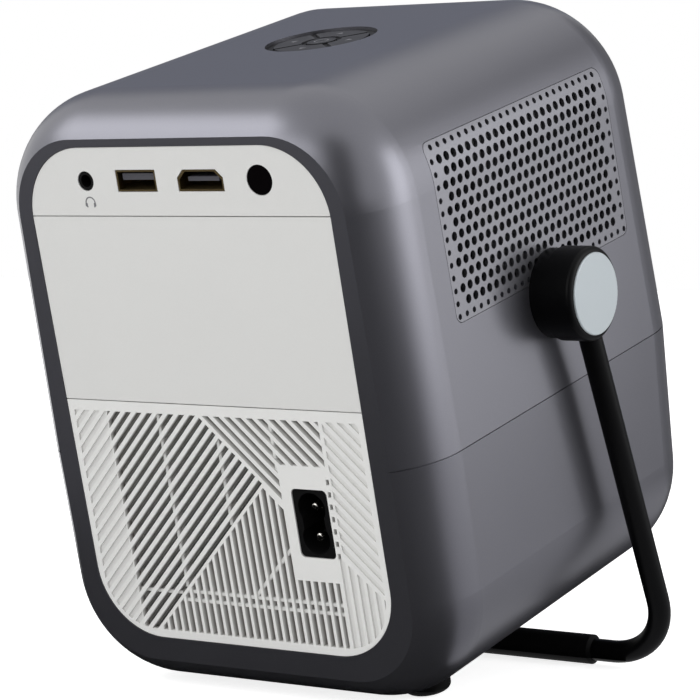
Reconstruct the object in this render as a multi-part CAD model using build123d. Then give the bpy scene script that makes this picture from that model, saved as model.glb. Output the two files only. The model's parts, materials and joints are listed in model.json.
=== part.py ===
"""Portable projector with a disc tray: a rounded metal-grey housing on a swinging U-shaped stand.

Everything is drawn upright in a body frame: X across, Y from the front (negative) to the rear face (zero),
Z up from the underside of the housing. The finished assembly is then leaned back on its stand and moved so
that the lowest points stand on Z = 0 with the middle of the bounding box above the origin.
"""

import math
import os

from build123d import *

# ---- housing ---------------------------------------------------------------------------------------
HALF_W_SEAM = 66.8        # half width where the two shells meet, the widest level
TAPER_TOP = 2.4           # how much each side draws in from the seam to the top
TAPER_BOTTOM = 0.3
HALF_W_TOP = HALF_W_SEAM - TAPER_TOP
HALF_W_BOTTOM = HALF_W_SEAM - TAPER_BOTTOM
HEIGHT = 171.1
SEAM_Z = 70.9
DEPTH = 145.0             # rear face to the front face of the upper shell
TOE_IN = 6.4              # how far the lower front falls back at the underside
RAKE = 4.0                # how far the upper front falls back at the top
EDGE_R_TOP = 32.0         # long edges that run front to rear
EDGE_R_BOTTOM = 32.0
REAR_R = 24.0             # rounding at the rear, trimmed by the rear face
REAR_TRIM = 4.6
FRONT_R = 21.0
WALL = 2.2
REAR_WALL = 3.0
SEAM_GROOVE = 0.3
SEAM_GROOVE_DEPTH = 0.5
FIT = 0.15                # gap round pieces set into an opening
SLIDE_GAP = 0.3           # gap round pieces that slide or press
RUN_GAP = 0.05            # radial gap of a shaft in its bore

# ---- rear panels -----------------------------------------------------------------------------------
PANEL_HALF_W = 50.6
PANEL_Z0 = 16.9
PANEL_TOP_MARGIN = 12.2   # housing's top over the rear panels
PANEL_Z1 = HEIGHT - PANEL_TOP_MARGIN
PANEL_R = 20.0
PANEL_RECESS = 0.2
PANEL_FLANGE = 1.2
PANEL_FLANGE_W = 2.2
PANEL_GAP = 0.3
VENT_SEAM_Z = 86.9

# ---- sockets, centres measured on the rear face ------------------------------------------------------
PORT_DROP = 21.5          # the sockets' level under the housing's top
PORT_Z = HEIGHT - PORT_DROP
PORT_SEAM_DROP = 9.8      # the panels' joint under the sockets
PORT_SEAM_Z = PORT_Z - PORT_SEAM_DROP
AUDIO_X = 29.4
AUDIO_R = 2.6
DATA_X = 11.7
DATA_W = 13.4
DATA_H = 5.8
VIDEO_X = -10.1
VIDEO_W = 15.1
VIDEO_H = 5.7
VIDEO_CORNER = 2.2
IR_X = -29.7
IR_R = 4.0
SOCKET_WALL = 0.45
SOCKET_DEPTH = 12.0
BOARD_T = 1.6

# ---- mains inlet -----------------------------------------------------------------------------------
INLET_X = -28.9
INLET_Z = 54.7
INLET_W = 11.5
INLET_H = 19.3
INLET_CORNER = 1.4
INLET_DEPTH = 17.0
INLET_WELL = 11.0
INLET_LOBE_R = 4.4
PIN_SPACING = 8.6
PIN_R = 1.2
PIN_ROOT_R = 1.5
PIN_STANDOUT = 9.8

# ---- rear vent pattern -----------------------------------------------------------------------------
VENT_Z1 = 83.8            # top of the slotted field
VENT_Z0 = 19.3
VENT_SIDE = 48.7          # how far the shallow grooves reach to the sides
VENT_CORNER = 15.5
SLAT_PITCH = 2.66         # across the sloping slots
SLAT_SLOT = 1.45
BAR_PITCH = 2.53          # across the upright slots
BAR_SLOT = 1.6
FAN_EDGE_X = 36.9         # outer edge of the open field
INNER_EDGE_X = -19.7      # edge beside the inlet frame
PEAK_X = -13.7            # where the three slotted fields meet
PEAK_Z = 65.3
SMALL_SLOTS = 7           # short slots beside the inlet frame
SMALL_SLOT_PITCH = 3.5
SMALL_SLOT_H = 1.6
RIB_W = 1.2
RIB_DEPTH = 1.5
GROOVE_DEPTH = 0.55
BLIND_DEPTH = 2.0
RIB_X = 19.6              # the second upright rib, the first is in the middle
RIB_Z = 30.7
GROOVE_STEP_Z = 35.5      # where the grooves beside the inlet change slope
INLET_FRAME_X = -34.8
INLET_FRAME_Z0 = 38.1
INLET_FRAME_Z1 = 71.0

# ---- side grilles ----------------------------------------------------------------------------------
GRILLE_Y0 = -27.4         # rear edge
GRILLE_DROP = 19.3        # top row of holes under the housing's top
GRILLE_Z1 = HEIGHT - GRILLE_DROP
GRILLE_COLS = 26
GRILLE_ROWS = 14
GRILLE_PITCH_Y = 3.5
GRILLE_PITCH_Z = 3.5
GRILLE_MARGIN = 1.6
GRILLE_CORNER = 2.6
GRILLE_T = 1.2
GRILLE_LEDGE = 1.9
HOLE_R = 1.25
SMALL_HOLE_R = 0.8

# ---- stand and its hinge ----------------------------------------------------------------------------
PIVOT_Y = -75.0
PIVOT_Z = 97.8
STAND_REACH = 119.3
STAND_SWING = 11.3        # degrees ahead of straight down, in the body frame
ARM_STANDOUT = 7.5        # the stand's arms outside the widest level
STAND_ARM_X = HALF_W_SEAM + ARM_STANDOUT
STAND_BEND_R = 19.8
STAND_R = 3.3
SLEEVE_R = 4.4
SLEEVE_HALF = 48.5
HUB_R = 13.1
HUB_BASE_STANDOUT = 3.1   # fixed hub base outside the widest level
HUB_BASE_X = HALF_W_SEAM + HUB_BASE_STANDOUT
HUB_STANDOUT = 12.7
HUB_OUT_X = HALF_W_SEAM + HUB_STANDOUT
HUB_ROUND = 1.6
CAP_R = 11.4
CAP_T = 1.2
CAP_PROUD = 0.5
SHAFT_R = 4.0
SHAFT_HEAD_R = 8.0
SHAFT_HEAD_T = 2.4

# ---- feet ------------------------------------------------------------------------------------------
FOOT_X = 36.7
FOOT_FRONT_X = 27.0
FOOT_REAR_Y = -29.0
FOOT_FRONT_Y = -108.0
FOOT_R = 6.7
FOOT_H = 4.0
FOOT_ROUND = 1.5
SCREW_HEAD_R = 2.6
SCREW_R = 1.4

# ---- front and optics --------------------------------------------------------------------------------
LENS_Z = 111.8
FRONT_PANEL_HALF_W = 46.0
FRONT_PANEL_HALF_H = 34.0
FRONT_PANEL_R = 14.0
LENS_HOLE_R = 24.0
BEZEL_R = 27.0
BEZEL_T = 1.6
FOCUS_R = 22.8
FOCUS_LENGTH = 9.0
FOCUS_PROUD = 1.8
FOCUS_RIBS = 40
NOSE_R = 19.5
NOSE_BORE_R = 17.2
BARREL_LENGTH = 24.0
BARREL_WALL = 1.6
BARREL_SET_BACK = 3.2     # barrel front behind the panel face at rest
FOCUS_TRAVEL = 5.0
ENGINE_HALF_W = 34.0
ENGINE_Z0 = 84.0
ENGINE_POSTS = 5.1        # posts that hold the main board over the optical block
ENGINE_Z1 = PORT_Z - DATA_H / 2 - BOARD_T - ENGINE_POSTS
ENGINE_Y0 = -112.0        # front wall
ENGINE_Y1 = -60.0         # rear wall
ENGINE_WALL = 2.0
CHASSIS_T = 2.0

# ---- disc loader -------------------------------------------------------------------------------------
LOADER_Z0 = 22.0
LOADER_Z1 = 35.6
LOADER_HALF_W = 62.2
LOADER_Y1 = -4.6
LOADER_Y0 = -134.5
LOADER_SHEET = 0.8
LOADER_CORNER = 18.0
DISC_Y = -73.9
DISC_POCKET_R = 60.2
TRAY_TRAVEL = 127.0
TRAY_FRONT_Y = -135.7
TRAY_BACK_Y = -12.0
TRAY_CORNER = 12.0
TRAY_HALF_W = 61.0
TRAY_PLATE_Z0 = 28.6
TRAY_PLATE_Z1 = 31.2
POCKET_DEPTH = 1.6
TRAY_CORE_HALF_W = 57.2
TRAY_CORE_Z0 = 23.8
RAIL_W = 2.6
RAIL_LENGTH = 104.0
SLOT_HALF_W = 61.6        # opening in the front skin
SLOT_Z0 = 22.4
SLOT_Z1 = 35.2
SLOT_BACK = 5.0           # the opening reaches this far behind the loader's front edge
MOTOR_R = 15.6
MOTOR_CORE_R = 11.0
SPINDLE_R = 1.5
TURNTABLE_R = 14.5
DISC_HUB_R = 7.4
SLED_HALF_W = 11.0
SLED_LENGTH = 14.0
SLED_START = 17.0         # from the spindle to the near edge of the sled
SLED_TRAVEL = 34.0
SLED_TURN = -135.0        # the sled runs from the spindle towards a front corner
SLED_ROD_R = 1.0
SLED_ROD_X = 8.5
SLED_Z = 26.6
EJECT_W = 9.0
EJECT_H = 3.2
EJECT_X = -48.0
EJECT_Z = 26.8
EJECT_TRAVEL = 0.8

# ---- keypad ------------------------------------------------------------------------------------------
KEYPAD_Y = -76.0
KEYPAD_R = 16.0
KEYPAD_RECESS = 1.0
KEY_OK_R = 4.2
KEY_RING_IN = 5.8
KEY_RING_OUT = 13.6
KEY_GAP = 1.6
KEY_PROUD = 0.45
KEY_TRAVEL = 0.6
KEY_LIP = 0.5

# ---- fan, power, sound -------------------------------------------------------------------------------
FAN_X = 12.0
FAN_Z = 61.4
FAN_SIZE = 50.0
FAN_T = 15.0
FAN_BORE_R = 23.6
FAN_BLADE_R = 22.8
FAN_HUB_R = 9.5
FAN_BLADES = 9
FAN_BACK = 5.0            # rear face of the fan behind the rear face
SPEAKER_R = 19.0
SPEAKER_DROP = 40.5
SPEAKER_Z = HEIGHT - SPEAKER_DROP
SPEAKER_DEPTH = 14.0


def block(x0, x1, y0, y1, z0, z1):
    """Box between two opposite corners."""
    return Pos((x0 + x1) / 2, (y0 + y1) / 2, (z0 + z1) / 2) * Box(abs(x1 - x0), abs(y1 - y0), abs(z1 - z0))


def along_x(x0, x1, y, z, r):
    """Cylinder along X."""
    return Pos((x0 + x1) / 2, y, z) * Rot(0, 90, 0) * Cylinder(r, abs(x1 - x0))


def along_y(y0, y1, x, z, r):
    """Cylinder along Y."""
    return Pos(x, (y0 + y1) / 2, z) * Rot(90, 0, 0) * Cylinder(r, abs(y1 - y0))


def along_z(z0, z1, x, y, r):
    """Upright cylinder."""
    return Pos(x, y, (z0 + z1) / 2) * Cylinder(r, abs(z1 - z0))


def rear_plane(y):
    """Sketch plane parallel to the rear face at depth y, drawn in X and Z, extruding towards the front."""
    return Plane(origin=(0, y, 0), x_dir=(1, 0, 0), z_dir=(0, -1, 0))


def deepen(sketch, depth):
    """Extrude a sketch from a rear plane towards the front."""
    return extrude(sketch, depth, dir=(0, -1, 0))


def both_sides(make):
    """The solids that make(+1) and make(-1) return, as one list."""
    return [make(1), make(-1)]


# ---- housing solids -----------------------------------------------------------------------------------
def housing_half(inset, upper, rear_y):
    """Solid half of the housing, every face moved in by inset, trimmed at the rear at rear_y."""
    seam_w = HALF_W_SEAM - inset
    if upper:
        end_w, end_z, edge_r = HALF_W_TOP - inset, HEIGHT - inset, EDGE_R_TOP - inset
    else:
        end_w, end_z, edge_r = HALF_W_BOTTOM - inset, inset, EDGE_R_BOTTOM - inset
    outline = Polygon((-seam_w, SEAM_Z), (-end_w, end_z), (end_w, end_z), (seam_w, SEAM_Z), align=None)
    corners = outline.vertices().sort_by(Axis.Y)
    outline = fillet(corners[2:] if upper else corners[:2], edge_r)
    start = REAR_TRIM - inset
    body = deepen(rear_plane(start) * outline, DEPTH - inset + start)
    front = -(DEPTH - inset)
    far_z, fall = (HEIGHT, RAKE) if upper else (0, TOE_IN)
    wedge = Polygon((front, SEAM_Z), (front + fall, far_z), (front - WALL, far_z), (front - WALL, SEAM_Z),
                    align=None)
    wedge_plane = Plane(origin=(-HALF_W_SEAM - WALL, 0, 0), x_dir=(0, 1, 0), z_dir=(1, 0, 0))
    body -= extrude(wedge_plane * wedge, 2 * (HALF_W_SEAM + WALL), dir=(1, 0, 0))
    rear_face = body.faces().sort_by(Axis.Y)[-1]
    body = fillet(off_seam(rear_face.edges()), REAR_R - inset)
    front_face = body.faces().sort_by(Axis.Y)[0]
    body = fillet(off_seam(front_face.edges()), FRONT_R - inset)
    return body & block(-HALF_W_SEAM, HALF_W_SEAM, rear_y, -DEPTH, -WALL, HEIGHT + WALL)


def off_seam(edges):
    """The edges that don't lie in the seam plane."""
    return [edge for edge in edges if abs(edge.center().Z - SEAM_Z) > 1e-3]


def panel_outline(grow):
    """Outline of the rear panels, moved out by grow."""
    width = 2 * (PANEL_HALF_W + grow)
    height = PANEL_Z1 - PANEL_Z0 + 2 * grow
    return Pos(0, (PANEL_Z0 + PANEL_Z1) / 2) * RectangleRounded(width, height, PANEL_R + grow)


OUTER_TOP = housing_half(0, True, 0)
OUTER_BASE = housing_half(0, False, 0)
CAVITY_TOP = housing_half(WALL, True, -REAR_WALL)
CAVITY_BASE = housing_half(WALL, False, -REAR_WALL)
PANEL_OPENING = deepen(rear_plane(1) * panel_outline(FIT), REAR_WALL + 2)

GRILLE_W = (GRILLE_COLS - 1) * GRILLE_PITCH_Y + 2 * GRILLE_MARGIN
GRILLE_H = (GRILLE_ROWS - 1) * GRILLE_PITCH_Z + 2 * GRILLE_MARGIN
GRILLE_Y = GRILLE_Y0 - GRILLE_W / 2
GRILLE_Z = GRILLE_Z1 - GRILLE_H / 2


def grille_prism(side, grow):
    """Prism through one side wall with the grille's outline, moved out by grow."""
    plane = Plane(origin=(side * HALF_W_SEAM / 2, GRILLE_Y, GRILLE_Z), x_dir=(0, 1, 0), z_dir=(side, 0, 0))
    outline = RectangleRounded(GRILLE_W + 2 * grow, GRILLE_H + 2 * grow, GRILLE_CORNER + min(grow, 0))
    if grow < -GRILLE_CORNER / 2:
        outline = Rectangle(GRILLE_W + 2 * grow, GRILLE_H + 2 * grow)
    return extrude(plane * outline, HALF_W_SEAM, dir=(side, 0, 0))


def front_prism(grow):
    """Prism through the front wall with the front panel's outline, moved out by grow."""
    outline = RectangleRounded(2 * (FRONT_PANEL_HALF_W + grow), 2 * (FRONT_PANEL_HALF_H + grow),
                               FRONT_PANEL_R + grow)
    return deepen(rear_plane(FRONT_R - DEPTH) * Pos(0, LENS_Z) * outline, FRONT_R + 1)


def seam_groove(outer, inner, z0, z1):
    """Thin slice of the skin, cut away on each side of the seam."""
    return (outer - inner) & block(-HALF_W_SEAM, HALF_W_SEAM, 1, -DEPTH - 1, z0, z1)


def make_upper_housing():
    """Upper shell with openings for the rear panels, side grilles, front panel, keypad and hinge shafts."""
    shell = OUTER_TOP - CAVITY_TOP - PANEL_OPENING
    grille_skin = OUTER_TOP - housing_half(GRILLE_T, True, 0)
    for side in (1, -1):
        shell -= grille_skin & grille_prism(side, FIT)
        shell -= grille_prism(side, -GRILLE_LEDGE)
        shell -= along_x(side * (HALF_W_TOP - 8), side * (HALF_W_SEAM + 2), PIVOT_Y, PIVOT_Z,
                         SHAFT_R + RUN_GAP)
    shell -= front_prism(FIT)
    shell -= along_z(HEIGHT - 2 * WALL, HEIGHT + 1, 0, KEYPAD_Y, KEYPAD_R + FIT)
    groove_skin = housing_half(SEAM_GROOVE_DEPTH, True, 0)
    return shell - seam_groove(OUTER_TOP, groove_skin, SEAM_Z, SEAM_Z + SEAM_GROOVE / 2)


LEDGE_W = 3.0
LEDGE_H = 9.0
LOADER_POST_R = 4.0
LOADER_POST_X = 44.0
LOADER_POST_REAR_Y = -22.0
LOADER_POST_FRONT_Y = -118.0


def make_lower_housing():
    """Lower shell with the tray opening, loader posts, ledges for the chassis plate and screw holes."""
    shell = OUTER_BASE - CAVITY_BASE - PANEL_OPENING
    shell -= block(-SLOT_HALF_W, SLOT_HALF_W, -DEPTH - 1, LOADER_Y0 + SLOT_BACK, SLOT_Z0, SLOT_Z1)
    for x in (-LOADER_POST_X, LOADER_POST_X):
        for y in (LOADER_POST_REAR_Y, LOADER_POST_FRONT_Y):
            shell += along_z(WALL, LOADER_Z0, x, y, LOADER_POST_R) & OUTER_BASE
    chassis_z = SEAM_Z - CHASSIS_T
    for side in (1, -1):
        ledge = block(side * (HALF_W_SEAM - WALL - LEDGE_W), side * HALF_W_SEAM, CHASSIS_Y1, CHASSIS_Y0,
                      chassis_z - LEDGE_H, chassis_z)
        shell += ledge & CAVITY_BASE
    for x, y in FOOT_PLACES:
        shell -= along_z(-FOOT_H, 2 * WALL + FOOT_H, x, y, SCREW_R)
    groove_skin = housing_half(SEAM_GROOVE_DEPTH, False, 0)
    return shell - seam_groove(OUTER_BASE, groove_skin, SEAM_Z - SEAM_GROOVE / 2, SEAM_Z)


CHASSIS_Y1 = -27.0
CHASSIS_Y0 = -118.0
FOOT_PLACES = [(side * x, y) for side in (-1, 1)
               for x, y in ((FOOT_X, FOOT_REAR_Y), (FOOT_FRONT_X, FOOT_FRONT_Y))]


# ---- rear panels ---------------------------------------------------------------------------------------
def panel_piece(z0, z1):
    """One rear panel between two levels: a plate in the opening and a flange behind the rear wall."""
    plate = deepen(rear_plane(-PANEL_RECESS) * panel_outline(0), REAR_WALL - PANEL_RECESS)
    flange = deepen(rear_plane(-REAR_WALL) * panel_outline(PANEL_FLANGE_W), PANEL_FLANGE)
    span = HALF_W_SEAM
    return (plate + flange) & block(-span, span, 1, -REAR_WALL - PANEL_FLANGE, z0, z1)


def port_cut(outline, x, z):
    """A socket opening through a rear panel."""
    return deepen(rear_plane(1) * Pos(x, z) * outline, REAR_WALL + PANEL_FLANGE + 2)


def video_outline(grow):
    """Video socket outline: a rectangle with its two upper corners cut off."""
    w, h = VIDEO_W / 2 + grow, VIDEO_H / 2 + grow
    cut = VIDEO_CORNER
    return Polygon((-w, -h), (w, -h), (w, h - cut), (w - cut, h), (cut - w, h), (-w, h - cut), align=None)


def make_port_panel():
    """Upper rear panel with the four socket openings."""
    panel = panel_piece(PORT_SEAM_Z + PANEL_GAP / 2, PANEL_Z1 + PANEL_FLANGE_W)
    panel -= port_cut(Circle(AUDIO_R + FIT), AUDIO_X, PORT_Z)
    panel -= port_cut(Rectangle(DATA_W + 2 * FIT, DATA_H + 2 * FIT), DATA_X, PORT_Z)
    panel -= port_cut(video_outline(FIT), VIDEO_X, PORT_Z)
    return panel - port_cut(Circle(IR_R + FIT), IR_X, PORT_Z)


def make_rear_cover():
    """Plain middle panel."""
    return panel_piece(VENT_SEAM_Z + PANEL_GAP / 2, PORT_SEAM_Z - PANEL_GAP / 2)


def vent_field():
    """The whole area that slots and grooves may cover."""
    height = VENT_Z1 - VENT_Z0
    field = Rectangle(2 * VENT_SIDE, height)
    low = field.vertices().sort_by(Axis.Y)[:2]
    return Pos(0, (VENT_Z0 + VENT_Z1) / 2) * fillet(low, VENT_CORNER)


def stripes(angle, pitch, width, anchor):
    """Long parallel strips at an angle, one of them centred on the anchor point."""
    length = 2 * (VENT_Z1 - VENT_Z0 + 2 * VENT_SIDE)
    count = int(length / pitch / 2)
    strips = []
    for step in range(-count, count + 1):
        shift = Vector(0, step * pitch).rotate(Axis.Z, angle)
        place = Pos(anchor[0] + shift.X, anchor[1] + shift.Y) * Rot(0, 0, angle)
        strips.append(place * Rectangle(length, width))
    return Sketch() + strips


def vent_regions():
    """Outlines of the five slotted or grooved regions, as (region, slope, through)."""
    top, low, side = VENT_Z1, VENT_Z0, VENT_SIDE
    run_up = top - PEAK_Z
    fall = PEAK_Z - low
    open_fan = Polygon((FAN_EDGE_X, low), (FAN_EDGE_X, top), (PEAK_X + run_up, top), (PEAK_X, PEAK_Z),
                       (PEAK_X + fall, low), align=None)
    left_low = FAN_EDGE_X + RIB_W / 4
    left_blind = Polygon((left_low, low), (side, low), (side, top), (left_low, top), align=None)
    frame_side = INLET_FRAME_X - 1.0
    inner_z = PEAK_Z + INNER_EDGE_X - PEAK_X
    upper = Polygon((PEAK_X + run_up - RIB_W, top), (frame_side, top), (frame_side, INLET_FRAME_Z1),
                    (INNER_EDGE_X, INLET_FRAME_Z1), (INNER_EDGE_X, inner_z + RIB_W),
                    (PEAK_X - RIB_W / 2, PEAK_Z + RIB_W / 2), align=None)
    frame_low = INLET_FRAME_X + RIB_W / 3
    lower = Polygon((PEAK_X, PEAK_Z - RIB_W), (PEAK_X + fall - RIB_W, low), (frame_low, low),
                    (frame_low, INLET_FRAME_Z0), (INNER_EDGE_X, INLET_FRAME_Z0),
                    (INNER_EDGE_X, inner_z - RIB_W), align=None)
    right_top = frame_side - RIB_W
    step, rise = GROOVE_STEP_Z, side + right_top
    right_blind = Polygon((right_top, top), (-side, top), (-side, step), (right_top, step + rise), align=None)
    right_low = Polygon((INLET_FRAME_X - RIB_W / 2, step - RIB_W + rise), (-side, step - RIB_W), (-side, low),
                        (INLET_FRAME_X - RIB_W / 2, low), align=None)
    return open_fan, left_blind, upper, lower, right_blind, right_low


def make_rear_vent():
    """Lower rear panel: sloping and upright slots, shallow grooves at the sides and the inlet opening."""
    panel = panel_piece(PANEL_Z0 - PANEL_FLANGE_W, VENT_SEAM_Z - PANEL_GAP / 2)
    open_fan, left_blind, upper, lower, right_blind, right_low = vent_regions()
    field = vent_field()
    peak = (PEAK_X, PEAK_Z)
    rising = stripes(-45, SLAT_PITCH, SLAT_SLOT, (PEAK_X, PEAK_Z - SLAT_PITCH))
    falling = stripes(45, SLAT_PITCH, SLAT_SLOT, (PEAK_X, PEAK_Z + SLAT_PITCH))
    upright = stripes(90, BAR_PITCH, BAR_SLOT, peak)
    through = deepen(rear_plane(1) * (rising & open_fan & field), REAR_WALL + PANEL_FLANGE + 2)
    deep = (falling & upper & field) + (upright & lower & field)
    shallow = (rising & left_blind & field) + (falling & right_blind & field) + (upright & right_low & field)
    panel -= through
    panel -= deepen(rear_plane(1) * deep, 1 + PANEL_RECESS + BLIND_DEPTH)
    panel -= deepen(rear_plane(1) * shallow, 1 + PANEL_RECESS + GROOVE_DEPTH)
    for step in range(SMALL_SLOTS):
        z = INLET_FRAME_Z1 - 4.1 - step * SMALL_SLOT_PITCH
        panel -= block(INLET_FRAME_X - 0.5, INLET_FRAME_X - 1.5, 1, -PANEL_RECESS - BLIND_DEPTH,
                       z - SMALL_SLOT_H / 2, z + SMALL_SLOT_H / 2)
    opening = RectangleRounded(INLET_W + 2 * FIT, INLET_H + 2 * FIT, INLET_CORNER + FIT)
    panel -= port_cut(opening, INLET_X, INLET_Z)
    rib_y0 = -REAR_WALL - PANEL_FLANGE
    ribs = Sketch() + [Pos(x, (VENT_Z0 + VENT_Z1) / 2) * Rectangle(RIB_W, VENT_Z1 - VENT_Z0)
                       for x in (0, RIB_X)]
    ribs += Pos(0, RIB_Z) * Rectangle(2 * FAN_EDGE_X, RIB_W)
    rib_solid = deepen(rear_plane(rib_y0 + RIB_DEPTH) * (ribs & open_fan), RIB_DEPTH)
    return panel + rib_solid


SOCKET_FLOOR = 1 - PANEL_RECESS - SOCKET_DEPTH


def make_audio_jack():
    """Headphone jack: a sleeve with its bore."""
    depth = -PANEL_RECESS - SOCKET_DEPTH
    body = block(AUDIO_X - 4, AUDIO_X + 4, -REAR_WALL - PANEL_FLANGE, depth, BOARD_Z0 + BOARD_T, PORT_Z + 3.2)
    body += along_y(-PANEL_RECESS - 0.2, -REAR_WALL - PANEL_FLANGE, AUDIO_X, PORT_Z, AUDIO_R)
    return body - along_y(1, depth + 2, AUDIO_X, PORT_Z, 1.75)


def make_data_socket():
    """Flat data socket: a thin metal shell."""
    place = Pos(DATA_X, PORT_Z)
    outer = deepen(rear_plane(-PANEL_RECESS - 0.1) * place * Rectangle(DATA_W, DATA_H), SOCKET_DEPTH)
    inner = Rectangle(DATA_W - 2 * SOCKET_WALL, DATA_H - 2 * SOCKET_WALL)
    return outer - deepen(rear_plane(1) * place * inner, 1 - SOCKET_FLOOR)


def make_video_socket():
    """Video socket: a thin metal shell with cut upper corners."""
    place = rear_plane(-PANEL_RECESS - 0.1) * Pos(VIDEO_X, PORT_Z)
    hollow = rear_plane(1) * Pos(VIDEO_X, PORT_Z) * video_outline(-SOCKET_WALL)
    return deepen(place * video_outline(0), SOCKET_DEPTH) - deepen(hollow, 1 - SOCKET_FLOOR)


def make_socket_tongues():
    """Contact tongues of the data and video sockets."""
    back = SOCKET_FLOOR
    data = block(DATA_X - 5.4, DATA_X + 5.4, -1.4, back, PORT_Z, PORT_Z + 1.8)
    video = block(VIDEO_X - 5.2, VIDEO_X + 5.2, -1.8, back, PORT_Z - 0.5, PORT_Z + 0.7)
    return [data, video]


def make_ir_window():
    """Round dark window over the remote receiver."""
    back = -REAR_WALL - PANEL_FLANGE
    window = along_y(-PANEL_RECESS - 0.1, back, IR_X, PORT_Z, IR_R)
    return window + along_y(back, back - 1.2, IR_X, PORT_Z, IR_R + 1.0)


def make_inlet_body():
    """Mains inlet: a black block with a figure-eight well."""
    front = RectangleRounded(INLET_W, INLET_H, INLET_CORNER)
    body = deepen(rear_plane(-PANEL_RECESS - 0.3) * Pos(INLET_X, INLET_Z) * front, INLET_DEPTH)
    flange_y = -REAR_WALL - PANEL_FLANGE
    body += block(INLET_X - INLET_W / 2 - 2, INLET_X + INLET_W / 2 + 2, flange_y, flange_y - 1.6,
                  INLET_Z - INLET_H / 2 - 2, INLET_Z + INLET_H / 2 + 2)
    waist = Rectangle(2 * INLET_LOBE_R - 1.6, PIN_SPACING)
    lobes = Sketch() + [Pos(0, s * PIN_SPACING / 2) * Circle(INLET_LOBE_R) for s in (1, -1)] + waist
    well = deepen(rear_plane(1) * Pos(INLET_X, INLET_Z) * lobes, 1 + PANEL_RECESS + 0.3 + INLET_WELL)
    body -= well
    for z in pin_levels():
        body -= along_y(0, -INLET_DEPTH - 2, INLET_X, z, PIN_ROOT_R)
    return body


def pin_levels():
    """Heights of the two inlet pins."""
    return [INLET_Z - PIN_SPACING / 2, INLET_Z + PIN_SPACING / 2]


def make_inlet_pins():
    """Two round pins with rounded tips and thicker roots held in the inlet's block."""
    floor = -PANEL_RECESS - 0.3 - INLET_WELL
    pins = []
    for z in pin_levels():
        pin = along_y(floor + PIN_STANDOUT, floor, INLET_X, z, PIN_R)
        pin = fillet(pin.edges().sort_by(Axis.Y)[-1], PIN_R * 0.6)
        pins.append(pin + along_y(floor, -INLET_DEPTH - 4, INLET_X, z, PIN_ROOT_R))
    return pins


# ---- side grilles, speakers ------------------------------------------------------------------------------
def grille_holes():
    """Hole outlines: a frame of small holes round staggered rows of large ones."""
    spots = Sketch()
    circles = []
    last_row, last_col = GRILLE_ROWS - 1, GRILLE_COLS - 1
    for row in range(GRILLE_ROWS):
        half_step = row == 0 or (row < last_row and row % 2 == 0)
        for col in range(GRILLE_COLS):
            edge_col = col in (0, last_col) and row > 0
            inner = 0 < row < last_row and not edge_col
            if half_step and inner and col == last_col - 1:
                continue
            if row == 0 and col == last_col:
                continue
            offset = 0.5 if half_step and not edge_col else 0.0
            y = (col + offset) * GRILLE_PITCH_Y + GRILLE_MARGIN - GRILLE_W / 2
            z = GRILLE_H / 2 - GRILLE_MARGIN - row * GRILLE_PITCH_Z
            circles.append(Pos(y, z) * Circle(HOLE_R if inner else SMALL_HOLE_R))
    return spots + circles


GRILLE_HOLES = grille_holes()


def make_grille(side):
    """Perforated side grille, a slice of the housing's skin."""
    skin = OUTER_TOP - housing_half(GRILLE_T, True, 0)
    plate = skin & grille_prism(side, 0)
    plane = Plane(origin=(side * (HALF_W_TOP - 6), GRILLE_Y, GRILLE_Z), x_dir=(0, -1, 0), z_dir=(-1, 0, 0))
    return plate - extrude(plane * GRILLE_HOLES, 10, dir=(side, 0, 0))


def make_speaker(side):
    """Speaker: a mounting plate on the wall behind the grille, a basket and its magnet."""
    half_h, half_l = SPEAKER_R + 1.5, SPEAKER_R + 6
    inner_x = HALF_W_TOP - WALL - 3.4
    plate = block(side * inner_x, side * HALF_W_SEAM, GRILLE_Y - half_l, GRILLE_Y + half_l,
                  SPEAKER_Z - half_h, SPEAKER_Z + half_h) & CAVITY_TOP
    plate -= along_x(side * (inner_x - 1), side * HALF_W_SEAM, GRILLE_Y, SPEAKER_Z, SPEAKER_R - 2)
    cone_x = inner_x - SPEAKER_DEPTH / 2
    axis = Plane(origin=(side * cone_x, GRILLE_Y, SPEAKER_Z), x_dir=(0, 1, 0), z_dir=(side, 0, 0))
    mouth = axis.offset(SPEAKER_DEPTH / 2)
    cone = loft([axis * Circle(8), mouth * Circle(SPEAKER_R)])
    hollow = loft([axis.offset(1.2) * Circle(6.8), mouth.offset(0.01) * Circle(SPEAKER_R - 2)])
    magnet = along_x(side * cone_x, side * (cone_x - SPEAKER_DEPTH / 2), GRILLE_Y, SPEAKER_Z, 11)
    return plate + cone + magnet - hollow


# ---- front panel and optics --------------------------------------------------------------------------------
def make_front_panel():
    """Dark front panel with the lens opening, set flush into the upper shell."""
    plate = (housing_half(PANEL_RECESS, True, 0) - CAVITY_TOP) & front_prism(0)
    flange = (CAVITY_TOP - housing_half(WALL + PANEL_FLANGE, True, 0)) & front_prism(PANEL_FLANGE_W)
    panel = (plate + flange) & block(-HALF_W_SEAM, HALF_W_SEAM, 0, -DEPTH, SEAM_Z + CHASSIS_T, HEIGHT)
    return panel - along_y(-DEPTH - 5, -DEPTH + 10, 0, LENS_Z, LENS_HOLE_R)


def ring_y(y0, y1, r_out, r_in):
    """Ring about the lens axis."""
    return along_y(y0, y1, 0, LENS_Z, r_out) - along_y(min(y0, y1) - 1, max(y0, y1) + 1, 0, LENS_Z, r_in)


FACE_Y = -DEPTH + RAKE * (LENS_Z - SEAM_Z - BEZEL_R) / (HEIGHT - SEAM_Z)    # front face at the bezel's foot


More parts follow.
